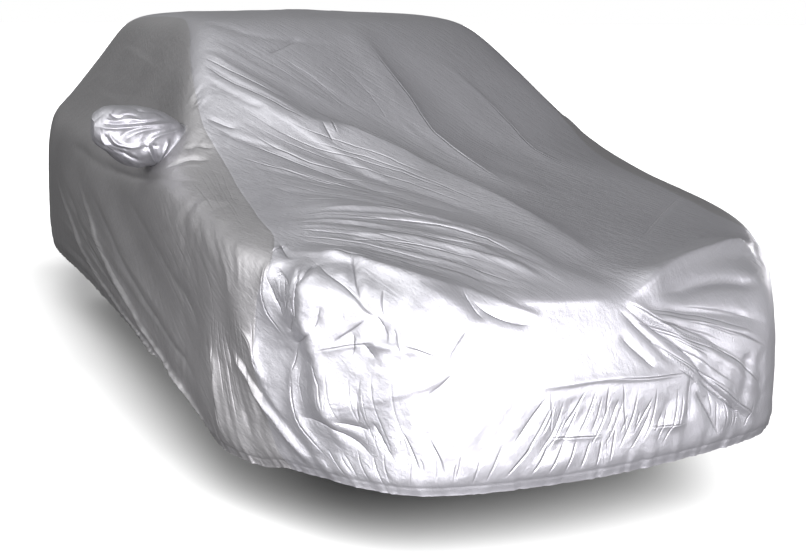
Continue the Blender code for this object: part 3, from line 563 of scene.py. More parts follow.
def beyond_form(points):
    """How far each point lies outside the whole form, in metres."""
    lower = smooth_max([beyond_flat(flat, points) for flat in LOWER_FLATS], LOWER_ROUNDING)
    cabin = smooth_max([beyond_flat(flat, points) for flat in CABIN_FLATS], CABIN_ROUNDING)
    return -smooth_max([-lower, -cabin], VALLEY_ROUNDING)


def outward(points, step=0.0005):
    """The direction away from the form at each point."""
    slopes = []
    for axis in np.eye(3):
        ahead, behind = points + step * axis, points - step * axis
        slopes.append(beyond_form(ahead) - beyond_form(behind))
    slopes = np.stack(slopes, axis=-1)
    return slopes / np.linalg.norm(slopes, axis=-1, keepdims=True)


def last_within(within, near, far, halvings):
    """The farthest value that is still within, found by halving between a near value and a far one."""
    for _ in range(halvings):
        middle = (near + far) / 2
        kept = within(middle)
        near, far = np.where(kept, middle, near), np.where(kept, far, middle)
    return near


def onto_form(guesses):
    """Each guess moved onto the form, along the line to it from the core of the form."""
    core_share, core_front, core_rear, core_top = 0.35, -1.95, 0.75, -0.85
    longest, halvings = 3.0, 26
    x, y, z = guesses[..., 0], guesses[..., 1], guesses[..., 2]
    core = np.stack([core_share * x, np.clip(y, core_front, core_rear), np.minimum(z, core_top)], axis=-1)
    line = guesses - core
    share = last_within(lambda tried: beyond_form(core + line * tried[..., None]) < 0,
                        np.zeros(x.shape), np.full(x.shape, longest), halvings)
    return core + line * share[..., None]


def through(rows, places):
    """Points at the given places along a smooth curve through the rows; place 2.5 is halfway from 2 to 3."""
    rows = np.asarray(rows, float)
    padded = np.vstack([2 * rows[0] - rows[1], rows, 2 * rows[-1] - rows[-2]])
    places = np.asarray(places, float)
    first = np.clip(places.astype(int), 0, len(rows) - 2)
    t = (places - first)[:, None]
    a, b, c, d = (padded[first + k] for k in range(4))
    return 0.5 * (2 * b + (c - a) * t + (2 * a - 5 * b + 4 * c - d) * t**2 + (3 * b - a - 3 * c + d) * t**3)


def finer(route):
    """A smooth curve through a route, with four steps to each of its stretches."""
    return through(route, np.linspace(0, len(route) - 1, 4 * len(route) - 3))


def run_along(points):
    """The distance along a row of points, from its first point."""
    steps = np.linalg.norm(np.diff(points, axis=0), axis=1)
    return np.concatenate([[0.0], np.cumsum(steps)])


# ---------------------------------------------------------------------------------------------------------
# Rows and columns of the cloth
def station_places(start, end, thin=1.0):
    """Places from one station to another, as close together as their cells say, thinned by a share."""
    samples = 3000
    fine = np.linspace(start, end, samples)
    curve = through([station[1:6] for station in STATIONS], fine)[:, :3]
    cells = np.interp(fine, range(len(STATIONS)), [station.cell for station in STATIONS]) * thin
    count = np.concatenate([[0.0], np.cumsum(np.diff(run_along(curve)) / cells[1:])])
    return np.interp(np.linspace(0, count[-1], max(2, round(count[-1])) + 1), count, fine)


def seam_guesses(side, places):
    """The seam on one side: -1 is the left of the frame and 1 the right."""
    guesses = through([(side * s.out, s.seam_y, s.seam_z) for s in STATIONS], places)
    if side > 0:
        wall_end = [station.name for station in STATIONS].index(SIDE_CORNERS[0])
        guesses[:, 2] += RIGHT_HEM_RISE * np.clip(1 - places / wall_end, 0, 1)
    return guesses


def middle_guesses(places):
    """The line along the middle plane of the cover."""
    return through([(0.0, s.middle_y, s.middle_z) for s in STATIONS], places)


def column_shares(width, columns):
    """Shares across the cloth, with close columns beside the seams."""
    edge, inner, soft, steps = 0.0016, width / columns, 0.020, 4000
    fine = np.linspace(0, 1, steps + 1)
    from_edge = np.minimum(fine, 1 - fine) * width
    cells = edge + (inner - edge) * np.clip(from_edge / soft, 0, 1)
    count = np.concatenate([[0.0], np.cumsum(width / steps / cells[1:])])
    return np.interp(np.linspace(0, count[-1], columns + 1), count, fine)


# ---------------------------------------------------------------------------------------------------------
# Folds, creases, crumples and gathers
# The photograph's camera, whose frame is 806 pixels by 554.
CAMERA_PLACE = (-1.81975, -5.43747, 0.06859)
CAMERA_YAW = 0.392606
CAMERA_PITCH = 0.1934345
CAMERA_ROLL = 0.0122114
CAMERA_LENS = 64.46
SENSOR = 36.0
PHOTO_WIDTH = 806
PHOTO_HEIGHT = 554


def camera_axes():
    """The camera's directions to the right, up and ahead."""
    flat = math.cos(CAMERA_PITCH)
    ahead = Vector((math.sin(CAMERA_YAW) * flat, math.cos(CAMERA_YAW) * flat, -math.sin(CAMERA_PITCH)))
    level = Vector((math.cos(CAMERA_YAW), -math.sin(CAMERA_YAW), 0.0))
    upward = level.cross(ahead)
    right = math.cos(CAMERA_ROLL) * level + math.sin(CAMERA_ROLL) * upward
    up = -math.sin(CAMERA_ROLL) * level + math.cos(CAMERA_ROLL) * upward
    return right, up, ahead


def seen_at(pixels):
    """The points of the form that the camera sees at pixels of the photograph's frame."""
    right, up, ahead = (np.array(axis) for axis in camera_axes())
    focal = CAMERA_LENS / SENSOR * PHOTO_WIDTH
    pixels = np.asarray(pixels, float)
    across = (pixels[:, :1] - PHOTO_WIDTH / 2) / focal
    down = (pixels[:, 1:] - PHOTO_HEIGHT / 2) / focal
    rays = ahead + across * right - down * up
    nearest, farthest, halvings = 2.0, 9.0, 20
    steps = np.linspace(nearest, farthest, 700)
    start = np.array(CAMERA_PLACE)
    inside = beyond_form(start + steps[None, :, None] * rays[:, None]) < 0
    beside = pixels[~inside.any(axis=1)]
    if len(beside):
        raise ValueError(f"These pixels of a route lie beside the form: {beside.tolist()}")
    far = steps[inside.argmax(axis=1)]
    near = far - (steps[1] - steps[0])
    depth = last_within(lambda tried: beyond_form(start + tried[:, None] * rays) >= 0, near, far, halvings)
    return start + depth[:, None] * rays


def on_form(route):
    """The points of a route, in metres."""
    return seen_at(route) if len(route[0]) == 2 else np.array(route, float)


# Turns the crumple's lattice away from the axes of the frame.
TILT = np.array(Matrix.Rotation(0.7, 3, (0.4, 0.8, 0.45)))


def lattice_noise(places, seed):
    """Smooth noise from -1 to 1 over a lattice one unit wide, at places given by three coordinates."""
    size = 24
    slopes = np.random.default_rng(seed).normal(size=(size, size, size, 3))
    slopes /= np.linalg.norm(slopes, axis=-1, keepdims=True)
    low = np.floor(places).astype(int)
    inner = places - low
    total = np.zeros(len(places))
    for corner in np.ndindex(2, 2, 2):
        away = inner - corner
        x, y, z = ((low + corner) % size).T
        near = 1 - np.abs(away)
        weight = (near**3 * (near * (near * 6 - 15) + 10)).prod(axis=1)
        total += weight * np.einsum("ij,ij->i", slopes[x, y, z], away)
    return total * 1.6


def in_units(pitches, *coordinates):
    """Places for the noise: each coordinate over its own pitch."""
    columns = [np.broadcast_to(c, coordinates[0].shape) / p for c, p in zip(coordinates, pitches)]
    while len(columns) < 3:
        columns.append(np.zeros(coordinates[0].shape))
    return np.stack(columns, axis=-1)


def soft_step(share):
    """0 below a share of 0, 1 above 1, and smooth between them."""
    share = np.clip(share, 0, 1)
    return share * share * (3 - 2 * share)


def nearest_on(route, points):
    """How far points are from a route, how far along it, from 0 to 1, and the offset and the run there."""
    nearest = np.full(len(points), np.inf)
    along = np.zeros(len(points))
    offset, run_there = np.zeros(points.shape), np.zeros(points.shape)
    for index, (start, end) in enumerate(zip(route, route[1:])):
        run = end - start
        share = np.clip(((points - start) @ run) / (run @ run), 0, 1)
        apart = points - (start + share[:, None] * run)
        away = np.linalg.norm(apart, axis=1)
        closer = away < nearest
        nearest[closer], along[closer] = away[closer], (index + share[closer]) / (len(route) - 1)
        offset[closer], run_there[closer] = apart[closer], run / np.linalg.norm(run)
    return nearest, along, offset, run_there


def near_route(route, points, reach):
    """The numbers of the points that lie within reach of the box around a route."""
    inside = (points > route.min(0) - reach) & (points < route.max(0) + reach)
    return np.flatnonzero(inside.all(axis=1))


def beside_route(route, points, normals):
    """How far points are from a route, how far along it, and how far to the left of it they lie."""
    nearest, along, offset, run = nearest_on(route, points)
    return nearest, along, np.einsum("ij,ij->i", np.cross(normals, run), offset)


def fold_height(points):
    """How far the main folds lift or lower the cloth at each point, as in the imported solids."""
    height = np.zeros(len(points))
    for fold in FOLDS:
        route = onto_form(np.array(fold.points))
        picked = near_route(route, points, 3.2 * fold.width)
        nearest, along, _, _ = nearest_on(route, points[picked])
        fade = np.sqrt(np.clip(np.sin(np.pi * (0.08 + 0.84 * along)), 0, 1))
        height[picked] += fold.height * fade * np.exp(-((nearest / fold.width) ** 2))
    return height


# A crease's cross section: how rounded its crest is, how steeply it falls, and how near the crest one side's
# width gives way to the other's. It fades out over a share of its run at each end.
CREST_ROUND = 0.06
CREST_START = 0.245
CREST_FALL = 1.35
CREST_TURN = 0.004
CREASE_END = 0.25


def crease_height(points, normals, creases):
    """How far the creases lift or lower the cloth."""
    height = np.zeros(len(points))
    for crease, route in creases:
        picked = near_route(route, points, 4.0 * max(crease.left, crease.right))
        nearest, along, to_left = beside_route(route, points[picked], normals[picked])
        turn = 0.5 + 0.5 * np.tanh(to_left / CREST_TURN)
        width = crease.right + (crease.left - crease.right) * turn
        fade = soft_step(along / CREASE_END) * soft_step((1 - along) / CREASE_END)
        crest = np.exp(-(np.sqrt((nearest / width) ** 2 + CREST_ROUND) - CREST_START) * CREST_FALL)
        height[picked] += crease.height * fade * crest
    return height


def lines_of(fan, seed):
    """The pressed lines of a fan, unevenly spaced, long and short."""
    chance = np.random.default_rng(seed)
    first, last = seen_at(fan.first), seen_at(fan.last)
    lines = []
    for index in range(fan.count):
        share = (index + 0.5 + 0.42 * chance.uniform(-1, 1)) / fan.count
        drift = 0.35 / fan.count * chance.uniform(-1, 1, size=(len(first), 1))
        start, end = chance.uniform(0, 0.4), chance.uniform(0.6, 1)
        route = first + (last - first) * (share + drift)
        lines.append(onto_form(through(route, np.linspace(start, end, 7) * (len(first) - 1))))
    return lines


def line_layers():
    """Every pressed line, sorted into layers so that the lines of one layer stand well apart."""
    lines = [(onto_form(finer(seen_at(line))), 1.0) for line in PRESSED]
    for seed, fan in enumerate(LINE_FANS):
        lines += [(line, fan.depth) for line in lines_of(fan, 300 + seed)]
    layers = [[] for _ in range(LINE_LAYERS)]
    for line, deep in lines:
        room = []
        for layer in layers:
            gaps = [np.linalg.norm(line[:, None] - other[None], axis=2).min() for other, _ in layer]
            room.append(min(gaps, default=FAR_AWAY))
        layers[int(np.argmax(room))].append((line, deep))
    return layers


def pressed_lines(points, normals, layers):
    """Facts on the pressed lines for the finish: how far to the left of the nearest line each point is, and
    how deep that line is there, from 0 to 1. Halfway between two lines of a layer the depth is 0."""
    facts = {}
    for index, lines in enumerate(layers):
        nearest, second = np.ones(len(points)), np.ones(len(points))
        away, depth = np.ones(len(points)), np.zeros(len(points))
        for line, deep in lines:
            picked = near_route(line, points, PRESSED_REACH)
            distance, along, to_left = beside_route(line, points[picked], normals[picked])
            fade = soft_step(along / LINE_END) * soft_step((1 - along) / LINE_END)
            deepest = deep * fade * (distance < PRESSED_REACH)
            closer = distance < nearest[picked]
            second[picked] = np.minimum(second[picked], np.where(closer, nearest[picked], distance))
            chosen = picked[closer]
            nearest[chosen], away[chosen], depth[chosen] = distance[closer], to_left[closer], deepest[closer]
        facts[f"line_away_{index}"] = away
        facts[f"line_depth_{index}"] = depth * soft_step((second - nearest - LINE_GAP) / LINE_GAP)
    return facts


def creases_of(fan, seed):
    """The creases of a fan, unevenly spaced, long and short, high and low."""
    chance = np.random.default_rng(seed)
    guides = 4
    first, last = (through(route, np.linspace(0, len(route) - 1, guides))
                   for route in (on_form(fan.first), on_form(fan.last)))
    made = []
    for index in range(fan.count):
        share = (index + 0.5 + fan.spread * chance.uniform(-1, 1)) / fan.count
        drift = fan.spread / fan.count * chance.uniform(-1, 1, size=(guides, 1))
        route = first + (last - first) * (share + drift)
        start, end = chance.uniform(0, 0.35), chance.uniform(0.65, 1)
        cut = through(route, np.linspace(start, end, 5) * (guides - 1))
        size = chance.uniform(0.45, 1.3) * (1 if chance.random() > 0.3 else -0.8)
        made.append(Crease(f"{fan.name}_{index}", fan.height * size, fan.left, fan.right, cut))
    return made


def flat_facets(places, seed):
    """Small flat faces that meet at sharp straight creases, from -1 to 1, over a lattice one unit wide."""
    size = 24
    heights = np.random.default_rng(seed).uniform(-1, 1, size=(size, size, size))
    corner = np.floor(places).astype(int)
    inner = places - corner
    order = np.argsort(-inner, axis=1)
    steps = np.take_along_axis(inner, order, axis=1)
    steps = np.hstack([steps, np.zeros((len(places), 1))])
    total = heights[tuple((corner % size).T)] * (1 - steps[:, 0])
    rows = np.arange(len(places))
    for index in range(3):
        corner[rows, order[:, index]] += 1
        total += heights[tuple((corner % size).T)] * (steps[:, index] - steps[:, index + 1])
    return total


def facets(places, seed):
    """Crumpled cloth: flat faces of two sizes with creases between them, from -1 to 1."""
    bend = np.stack([lattice_noise(places * 0.7, seed + axis) for axis in range(3)], axis=-1)
    bent = (places + 0.30 * bend) @ TILT
    return 0.7 * flat_facets(bent, seed + 3) + 0.3 * flat_facets(bent * 2.3 + 5.3, seed + 4)


def crumple_height(points, crumples):
    """How far the crumpled patches lift or lower the cloth."""
    height = np.zeros(len(points))
    for seed, crumple in enumerate(crumples):
        away = np.linalg.norm(points - np.array(crumple.middle), axis=1)
        picked = np.flatnonzero(away < 1.6 * crumple.radius)
        share = soft_step(1.25 - away[picked] / crumple.radius * 0.8)
        height[picked] += crumple.height * share * facets(points[picked] / crumple.pitch, 40 + 7 * seed)
    return height


def wrinkle_height(points):
    """The slow unevenness and the fine creasing of the whole cloth."""
    slow_pitch, fine_pitch = 0.32, (0.075, 0.110, 0.075)
    slow_depth, fine_depth = 0.0030, 0.0006
    slow = lattice_noise(points / slow_pitch, 7)
    fine = 1 - 2.4 * np.abs(lattice_noise(points / fine_pitch, 8))
    return slow_depth * slow + fine_depth * fine * (0.6 + 0.6 * slow)


def gather_height(run, up, depth, seed):
    """The gathers that the elastic draws up beside a hem; run is along it and up is the distance from it."""
    close = lattice_noise(in_units((0.013, 0.10), run, up), seed + 1) * np.exp(-up / 0.035)
    loose = lattice_noise(in_units((0.036, 0.22), run, up), seed + 2) * np.exp(-up / 0.090)
    return depth * (close + 1.6 * loose)


def hem_height(up, hem_width, pull):
    """The hem: drawn in at its edge, and full between the edge and its stitched line."""
    roll_depth, groove_depth, groove_width, pull_reach = 0.0005, 0.0010, 0.0035, 0.030
    roll = np.exp(-(((up - 0.45 * hem_width) / (0.42 * hem_width)) ** 2))
    groove = np.exp(-(((up - hem_width) / groove_width) ** 2))
    return roll_depth * roll - groove_depth * groove - pull * np.exp(-((up / pull_reach) ** 2))


def seam_height(points, away, depth):
    """A seam: the cloth dips to the stitches and puckers beside them."""
    groove_width, slope_width, pucker_pitch, pucker_width = 0.0030, 0.010, 0.020, 0.022
    dip = np.exp(-((away / groove_width) ** 2)) + 0.20 * np.exp(-away / slope_width)
    pucker = lattice_noise(points / pucker_pitch, 30) * np.exp(-away / pucker_width)
    return depth * (0.9 * pucker - dip)


# ---------------------------------------------------------------------------------------------------------
# Sheets
class Sheet:
    """A grid of points on the form, with what the finish and the gathers need to know at each of them."""

    def __init__(self, guesses):
        self.shape = guesses.shape[:2]
        self.points = onto_form(guesses).reshape(-1, 3)
        self.normals = outward(self.points)
        self.lift = np.zeros(len(self.points))
        grid = self.points.reshape(*self.shape, 3)
        across = np.linalg.norm(np.diff(grid, axis=1), axis=2)
        along = np.linalg.norm(np.diff(grid, axis=0), axis=2)
        start_u, start_v = np.zeros((self.shape[0], 1)), np.zeros((1, self.shape[1]))
        self.u = np.hstack([start_u, across.cumsum(axis=1)])
        self.v = np.vstack([start_v, along.cumsum(axis=0)])

    def from_edge(self, edge):
        """The distance of each point from an edge, and how far along that edge it lies."""
        distance = {
            "first_row": self.v,
            "last_row": self.v[-1:] - self.v,
            "first_column": self.u,
            "last_column": self.u[:, -1:] - self.u,
        }[edge]
        line = {
            "first_row": self.u[:1] + 0 * self.v,
            "last_row": self.u[-1:] + 0 * self.v,
            "first_column": self.v[:, :1] + 0 * self.u,
            "last_column": self.v[:, -1:] + 0 * self.u,
        }[edge]
        return line.ravel(), distance.ravel()

    def raise_by(self, height):
        """Lifts each point along its normal, in metres; less than 0 lowers it."""
        self.lift += np.asarray(height).reshape(-1)

    def placed(self):
        """The points of the finished cloth."""
        return self.points + self.normals * self.lift[:, None]


def grid_faces(rows, columns, turned):
    """The squares of a grid of points, turned over where the grid runs the other way round."""
    index = np.arange(rows * columns).reshape(rows, columns)
    corners = [index[:-1, :-1], index[:-1, 1:], index[1:, 1:], index[1:, :-1]]
    faces = np.stack([corner.ravel() for corner in corners], axis=-1)
    return faces[:, ::-1] if turned else faces


def make_mesh(name, points, faces, facts):
    """A smooth mesh object; facts are named values that its finish reads at each point."""
    data = bpy.data.meshes.new(name)
    data.from_pydata(points.tolist(), [], faces)
    for label, values in facts.items():
        layer = data.attributes.new(label, "FLOAT", "POINT")
        layer.data.foreach_set("value", np.asarray(values, np.float32).ravel())
    data.shade_smooth()
    made = bpy.data.objects.new(name, data)
    bpy.context.scene.collection.objects.link(made)
    return made


def lay_out(data, u, v):
    """A UV map with each panel laid out flat, in metres."""
    laid = data.uv_layers.new(name="laid")
    corners = np.zeros(len(data.loops), np.int32)
    data.loops.foreach_get("vertex_index", corners)
    places = np.stack([u, v], axis=-1).reshape(-1, 2)[corners]
    laid.data.foreach_set("uv", places.astype(np.float32).ravel())


def all_creases():
    """Every crease of the cover with its route. The panels share them, so none breaks off at a seam."""
    placed = [(crease, on_form(crease.route)) for crease in CREASES]
    drawn = [crease for seed, fan in enumerate(FANS) for crease in creases_of(fan, 100 + seed)]
    placed += [(crease, crease.route) for crease in drawn]
    return [(crease, onto_form(finer(points))) for crease, points in placed]


def lay_detail(sheet, creases, layers, depth):
    """Folds, creases, crumples and wrinkles of a sheet. It returns the facts on its pressed lines. The
    routes wander a little, so that none runs straight."""
    wander_pitch, wander_reach = 0.080, 0.003
    points, normals = sheet.points, sheet.normals
    sheet.raise_by(fold_height(points) + CLOTH_HALF)
    wander = np.stack([lattice_noise(points / wander_pitch, 20 + axis) for axis in range(3)], axis=-1)
    moved = points + wander_reach * wander
    sheet.raise_by(depth * crease_height(moved, normals, creases))
    sheet.raise_by(depth * crumple_height(points, CRUMPLES))
    sheet.raise_by(wrinkle_height(points))
    return pressed_lines(moved, normals, layers)


# ---------------------------------------------------------------------------------------------------------
# Finishes
class Shade:
    """One output of a shader node. Arithmetic on it adds Math nodes."""

    def __init__(self, tree, output):
        self.tree = tree
        self.output = output

    def math(self, operation, first, second=0.0):
        """One Math node on numbers or on outputs."""
        return self.tree.node("ShaderNodeMath", {"operation": operation}, {0: first, 1: second})

    def __add__(self, value):
        return self.math("ADD", self, value)

    def __sub__(self, value):
        return self.math("SUBTRACT", self, value)

    def __rsub__(self, value):
        return self.math("SUBTRACT", value, self)

    def __mul__(self, value):
        return self.math("MULTIPLY", self, value)

    def __truediv__(self, value):
        return self.math("DIVIDE", self, value)

    def __rtruediv__(self, value):
        return self.math("DIVIDE", value, self)

    def __lt__(self, value):
        return self.math("LESS_THAN", self, value)

    def __abs__(self):
        return self.math("ABSOLUTE", self)

    def sine(self):
        """The sine of it, as an angle in radians."""
        return self.math("SINE", self)

    def fraction(self):
        """What is left of it above the whole number below."""
        return self.math("FRACT", self)

    def at_least(self, value):
        """It, or the value where that is larger."""
        return self.math("MAXIMUM", self, value)

    __radd__ = __add__
    __rmul__ = __mul__


class NodeTree:
    """A shader tree that is built one node at a time."""

    def __init__(self, tree):
        self.tree = tree

    def node(self, kind, settings=None, sockets=None, output=0):
        """Adds a node: its settings first, then the values or links of its sockets."""
        made = self.tree.nodes.new(kind)
        for key, value in (settings or {}).items():
            setattr(made, key, value)
        for key, value in (sockets or {}).items():
            if isinstance(value, Shade):
                self.tree.links.new(value.output, made.inputs[key])
            else:
                made.inputs[key].default_value = value
        return Shade(self, made.outputs[output] if len(made.outputs) else None)


class Finish(NodeTree):
    """A material and its shader."""

    def __init__(self, name):
        self.material = bpy.data.materials.new(name)
        self.material.use_nodes = True
        super().__init__(self.material.node_tree)
        self.shader = self.tree.nodes["Principled BSDF"]

    def fact(self, name):
        """A named value that the mesh holds at each point."""
        return self.node("ShaderNodeAttribute", {"attribute_name": name}, output="Fac")

    def set(self, **values):
        """Sets the shader's sockets; a word's underscores stand for spaces."""
        for key, value in values.items():
            socket = self.shader.inputs[key.replace("_", " ")]
            if isinstance(value, Shade):
                self.tree.links.new(value.output, socket)
            else:
                socket.default_value = value


def near_line(distance, half_width):
    """1 on a line, falling to 0 at its half width."""
    return (1 - abs(distance) / half_width).at_least(0.0)


def noise(finish, sockets):
    """Noise in three dimensions."""
    return finish.node("ShaderNodeTexNoise", {"noise_dimensions": "3D"}, sockets)


def streaks(finish, place, along, across, seed):
    """Fine creases that run along one direction, from 0 to 1."""
    along, across = Vector(along).normalized(), Vector(across).normalized()
    third = along.cross(across)
    parts = []
    for axis, scale in ((along, 7.0), (across, 95.0), (third, 95.0)):
        parts.append(finish.node("ShaderNodeVectorMath", {"operation": "DOT_PRODUCT"},
                                 {0: place, 1: tuple(axis * scale)}, output="Value"))
    stretched = finish.node("ShaderNodeCombineXYZ", None,
                            {"X": parts[0], "Y": parts[1], "Z": parts[2] + seed})
    return noise(finish, {"Vector": stretched, "Scale": 1.0, "Detail": 2.0, "Roughness": 0.5,
                          "Distortion": 0.6})


# Stitches: how far they stand from a seam, half their width, their spacing, the share of it that is thread,
# and how far they sink in.
STITCH_INSET = 0.0045
STITCH_HALF = 0.0011
STITCH_PITCH = 0.0040
STITCH_SHARE = 0.72
STITCH_DEPTH = 0.00015


def shades_of(colour):
    """The paler and the darker tone, the thread's colour and the painted shade of a crease, from a colour."""
    made = []
    for share in (1.08, 0.92, 0.9, 0.72):
        made.append(tuple(min(1.0, part * share) for part in colour) + (1.0,))
    return made


def mixed(finish, factor, first, second):
    """A colour between two others."""
    sockets = {"Factor": factor, 6: first, 7: second}
    return finish.node("ShaderNodeMix", {"data_type": "RGBA"}, sockets, output=2)


def cloth_finish(name, colour, cloth):
    """Silver-coated taffeta: a fine weave, a broad sheen, pressed lines with painted shade, stitches, faint
    marks of use, and painted shade and highlight along the fine creases.
    """
    finish = Finish(name)
    u, v = finish.fact("laid_u"), finish.fact("laid_v")
    sewn, sewn_run = finish.fact("sewn_away"), finish.fact("sewn_run")
    place = finish.node("ShaderNodeTexCoord", output="Object")
    normal = finish.node("ShaderNodeNewGeometry", output="Normal")
    squares = finish.node("ShaderNodeVectorMath", {"operation": "MULTIPLY"}, {0: normal, 1: normal})
    sideways = finish.node("ShaderNodeSeparateXYZ", None, {0: squares}, output="X")
    upwards = finish.node("ShaderNodeSeparateXYZ", None, {0: squares}, output="Z")
    frontwards = 1 - sideways - upwards

    threads = 2 * math.pi / cloth.weave
    weave = (u * threads).sine() * (v * threads).sine()
    crinkle = noise(finish, {"Vector": place, "Scale": 30.0, "Detail": 4.0, "Roughness": 0.62,
                             "Distortion": 0.4})
    marks = noise(finish, {"Vector": place, "Scale": 2.3, "Detail": 3.0, "Roughness": 0.55})
    fine = (streaks(finish, place, (0.45, -0.82, -0.35), (0.88, 0.46, 0.0), 0.0) * upwards
            + streaks(finish, place, (0.0, -0.90, -0.42), (0.0, 0.42, -0.90), 3.0) * sideways
            + streaks(finish, place, (0.30, 0.10, -0.95), (0.95, 0.0, 0.30), 6.0) * frontwards * 0.4)
    line = 0.0
    for layer in range(LINE_LAYERS):
        close = near_line(finish.fact(f"line_away_{layer}"), cloth.line_width)
        line = close * close * finish.fact(f"line_depth_{layer}") + line
    thread_there = (sewn_run / STITCH_PITCH).fraction() < STITCH_SHARE
    stitch = near_line(sewn - STITCH_INSET, STITCH_HALF) * thread_there

    relief = (crinkle * cloth.crinkle_depth + fine * cloth.streak_depth + weave * cloth.weave_depth
              - line * cloth.line_depth - stitch * STITCH_DEPTH)
    bump = finish.node("ShaderNodeBump", None, {"Strength": 1.0, "Distance": 1.0, "Height": relief})

    pale, dark, thread, creased = shades_of(colour)
    # Marks of use tone the colour at random; on top of them the fine creases get painted shade in their
    # hollows and a painted highlight on their ridges.
    base = mixed(finish, marks * 0.7 + fine * 0.3, dark, pale)
    # Painted shade: the colour darkens along the pressed lines.
    base = mixed(finish, line * 0.7, base, creased)
    base = mixed(finish, stitch, base, thread)
    uneven = 0.10
    roughness = marks * uneven + (cloth.roughness - uneven / 2)
    finish.set(Base_Color=base, Metallic=cloth.metallic, Roughness=roughness, Normal=bump)
    return finish.material


# ---------------------------------------------------------------------------------------------------------
# Settings that a user may change
def colour_setting(label, about, default):
    """A colour that a user may change."""
    return bpy.props.FloatVectorProperty(
        name=label, description=about, default=default, size=3, min=0.0, max=1.0, subtype="COLOR")


def share_setting(label, about, default, most=1.0):
    """A share that a user may change."""
    return bpy.props.FloatProperty(
        name=label, description=about, default=default, min=0.0, max=most, subtype="FACTOR")


def length_setting(label, about, default, least, most):
    """A length that a user may change, in metres."""
    return bpy.props.FloatProperty(
        name=label, description=about, default=default, min=least, max=most, precision=5, unit="LENGTH")


class ClothSettings(bpy.types.PropertyGroup):
    """Sizes and colours of the cloth."""

    top_colour: colour_setting("Top Colour", "Colour of the long panel's coat", (0.36, 0.36, 0.38))
    # The side panels are of the long panel's cloth; their colour is darker than its colour as painted shade.
    shaded_side_colour: colour_setting("Side Colour", "Colour of the side panels' coat", (0.292, 0.289, 0.294))
    # The pockets are of the long panel's cloth too; their colour is a little darker than its colour as painted
    # shade.
    shaded_pocket_colour: colour_setting("Pocket Colour", "Colour of the mirror pockets", (0.330, 0.330, 0.350))
    metallic: share_setting("Metal Share", "How metallic the coat is", 0.72)
    roughness: share_setting("Roughness", "How broadly the coat spreads light", 0.44)
    weave: length_setting("Weave Pitch", "Distance from thread to thread", 0.0011, 0.0003, 0.01)
    weave_depth: length_setting("Weave Depth", "Depth of the weave", 0.00003, 0.0, 0.001)
    crinkle_depth: length_setting("Crinkle Depth", "Depth of the crinkles in the coat", 0.0016, 0.0, 0.01)
    streak_depth: length_setting(
        "Streak Depth", "Depth of the fine creases along the pull of the cloth", 0.0018, 0.0, 0.01)
    line_width: length_setting("Line Width", "Half width of a pressed line", 0.0055, 0.001, PRESSED_REACH)
    line_depth: length_setting("Line Depth", "Depth of a pressed line", 0.0022, 0.0, 0.01)
    crease_depth: share_setting("Crease Depth", "Share of their full height that the creases have", 1.0, 1.5)
    hem_width: length_setting("Hem Width", "Width of the hem that holds the elastic", 0.024, 0.01, 0.05)
    hem_pull: length_setting("Hem Pull", "How far the elastic draws the edge in", 0.010, 0.0, 0.03)
    gather_depth: length_setting("Gather Depth", "Depth of the gathers beside the hem", 0.0042, 0.0, 0.01)
    seam_depth: length_setting("Seam Depth", "How far the cloth dips to a seam", 0.0006, 0.0, 0.01)


class StageSettings(bpy.types.PropertyGroup):
    """Floor, light and camera."""

    floor_colour: colour_setting("Floor Colour", "Colour of the floor", (0.55, 0.55, 0.55))
    light_share: share_setting("Light Share", "Share of the lamps' power that is used", 1.0, 4.0)
    sky_share: share_setting("Sky Share", "Share of the soft windows' strength that is used", 1.0, 4.0)
    floor_light: bpy.props.FloatProperty(
        name="Floor Light", description="Strength of the light that only the floor takes",
        default=11.5, min=0.0)
    focal_length: bpy.props.FloatProperty(
        name="Focal Length", description="Focal length of the camera, in millimetres",
        default=CAMERA_LENS, min=10.0, subtype="DISTANCE_CAMERA")


# ---------------------------------------------------------------------------------------------------------
# Pieces
LONG_PANEL_WIDTH = 1.45
LONG_PANEL_SQUARES = 99000
FEWEST_COLUMNS, MOST_COLUMNS = 60, 240


def long_panel_sheet():
    """Rows from the front hem to the rear hem, columns from the left seam to the right seam."""
    places = station_places(0, len(STATIONS) - 1)
    left, right = seam_guesses(-1, places), seam_guesses(1, places)
    middle = middle_guesses(places)
    columns = max(FEWEST_COLUMNS, min(MOST_COLUMNS, LONG_PANEL_SQUARES // (len(places) - 1)))
    share = column_shares(LONG_PANEL_WIDTH, columns)[None, :, None]
    chord = left[:, None] * (1 - share) + right[:, None] * share
    bow = middle - (left + right) / 2
    return Sheet(chord + bow[:, None] * 4 * share * (1 - share))


def side_hem_guesses(side, seam):
    """The hem of a side panel, below the points of its top edge."""
    heights = [hem.left_z if side < 0 else hem.right_z for hem in SIDE_HEM]
    share = run_along(seam) / run_along(seam)[-1]
    ends = seam[0, 1], seam[-1, 1]
    y = np.clip(seam[:, 1], SIDE_HEM[0].y, SIDE_HEM[-1].y)
    y = y + (SIDE_HEM[0].y - ends[0]) * (1 - share) ** 6 + (SIDE_HEM[-1].y - ends[1]) * share**6
    z = np.interp(y, [hem.y for hem in SIDE_HEM], heights)
    return np.stack([np.full(len(y), side * SIDE_OUT), y, z], axis=-1)


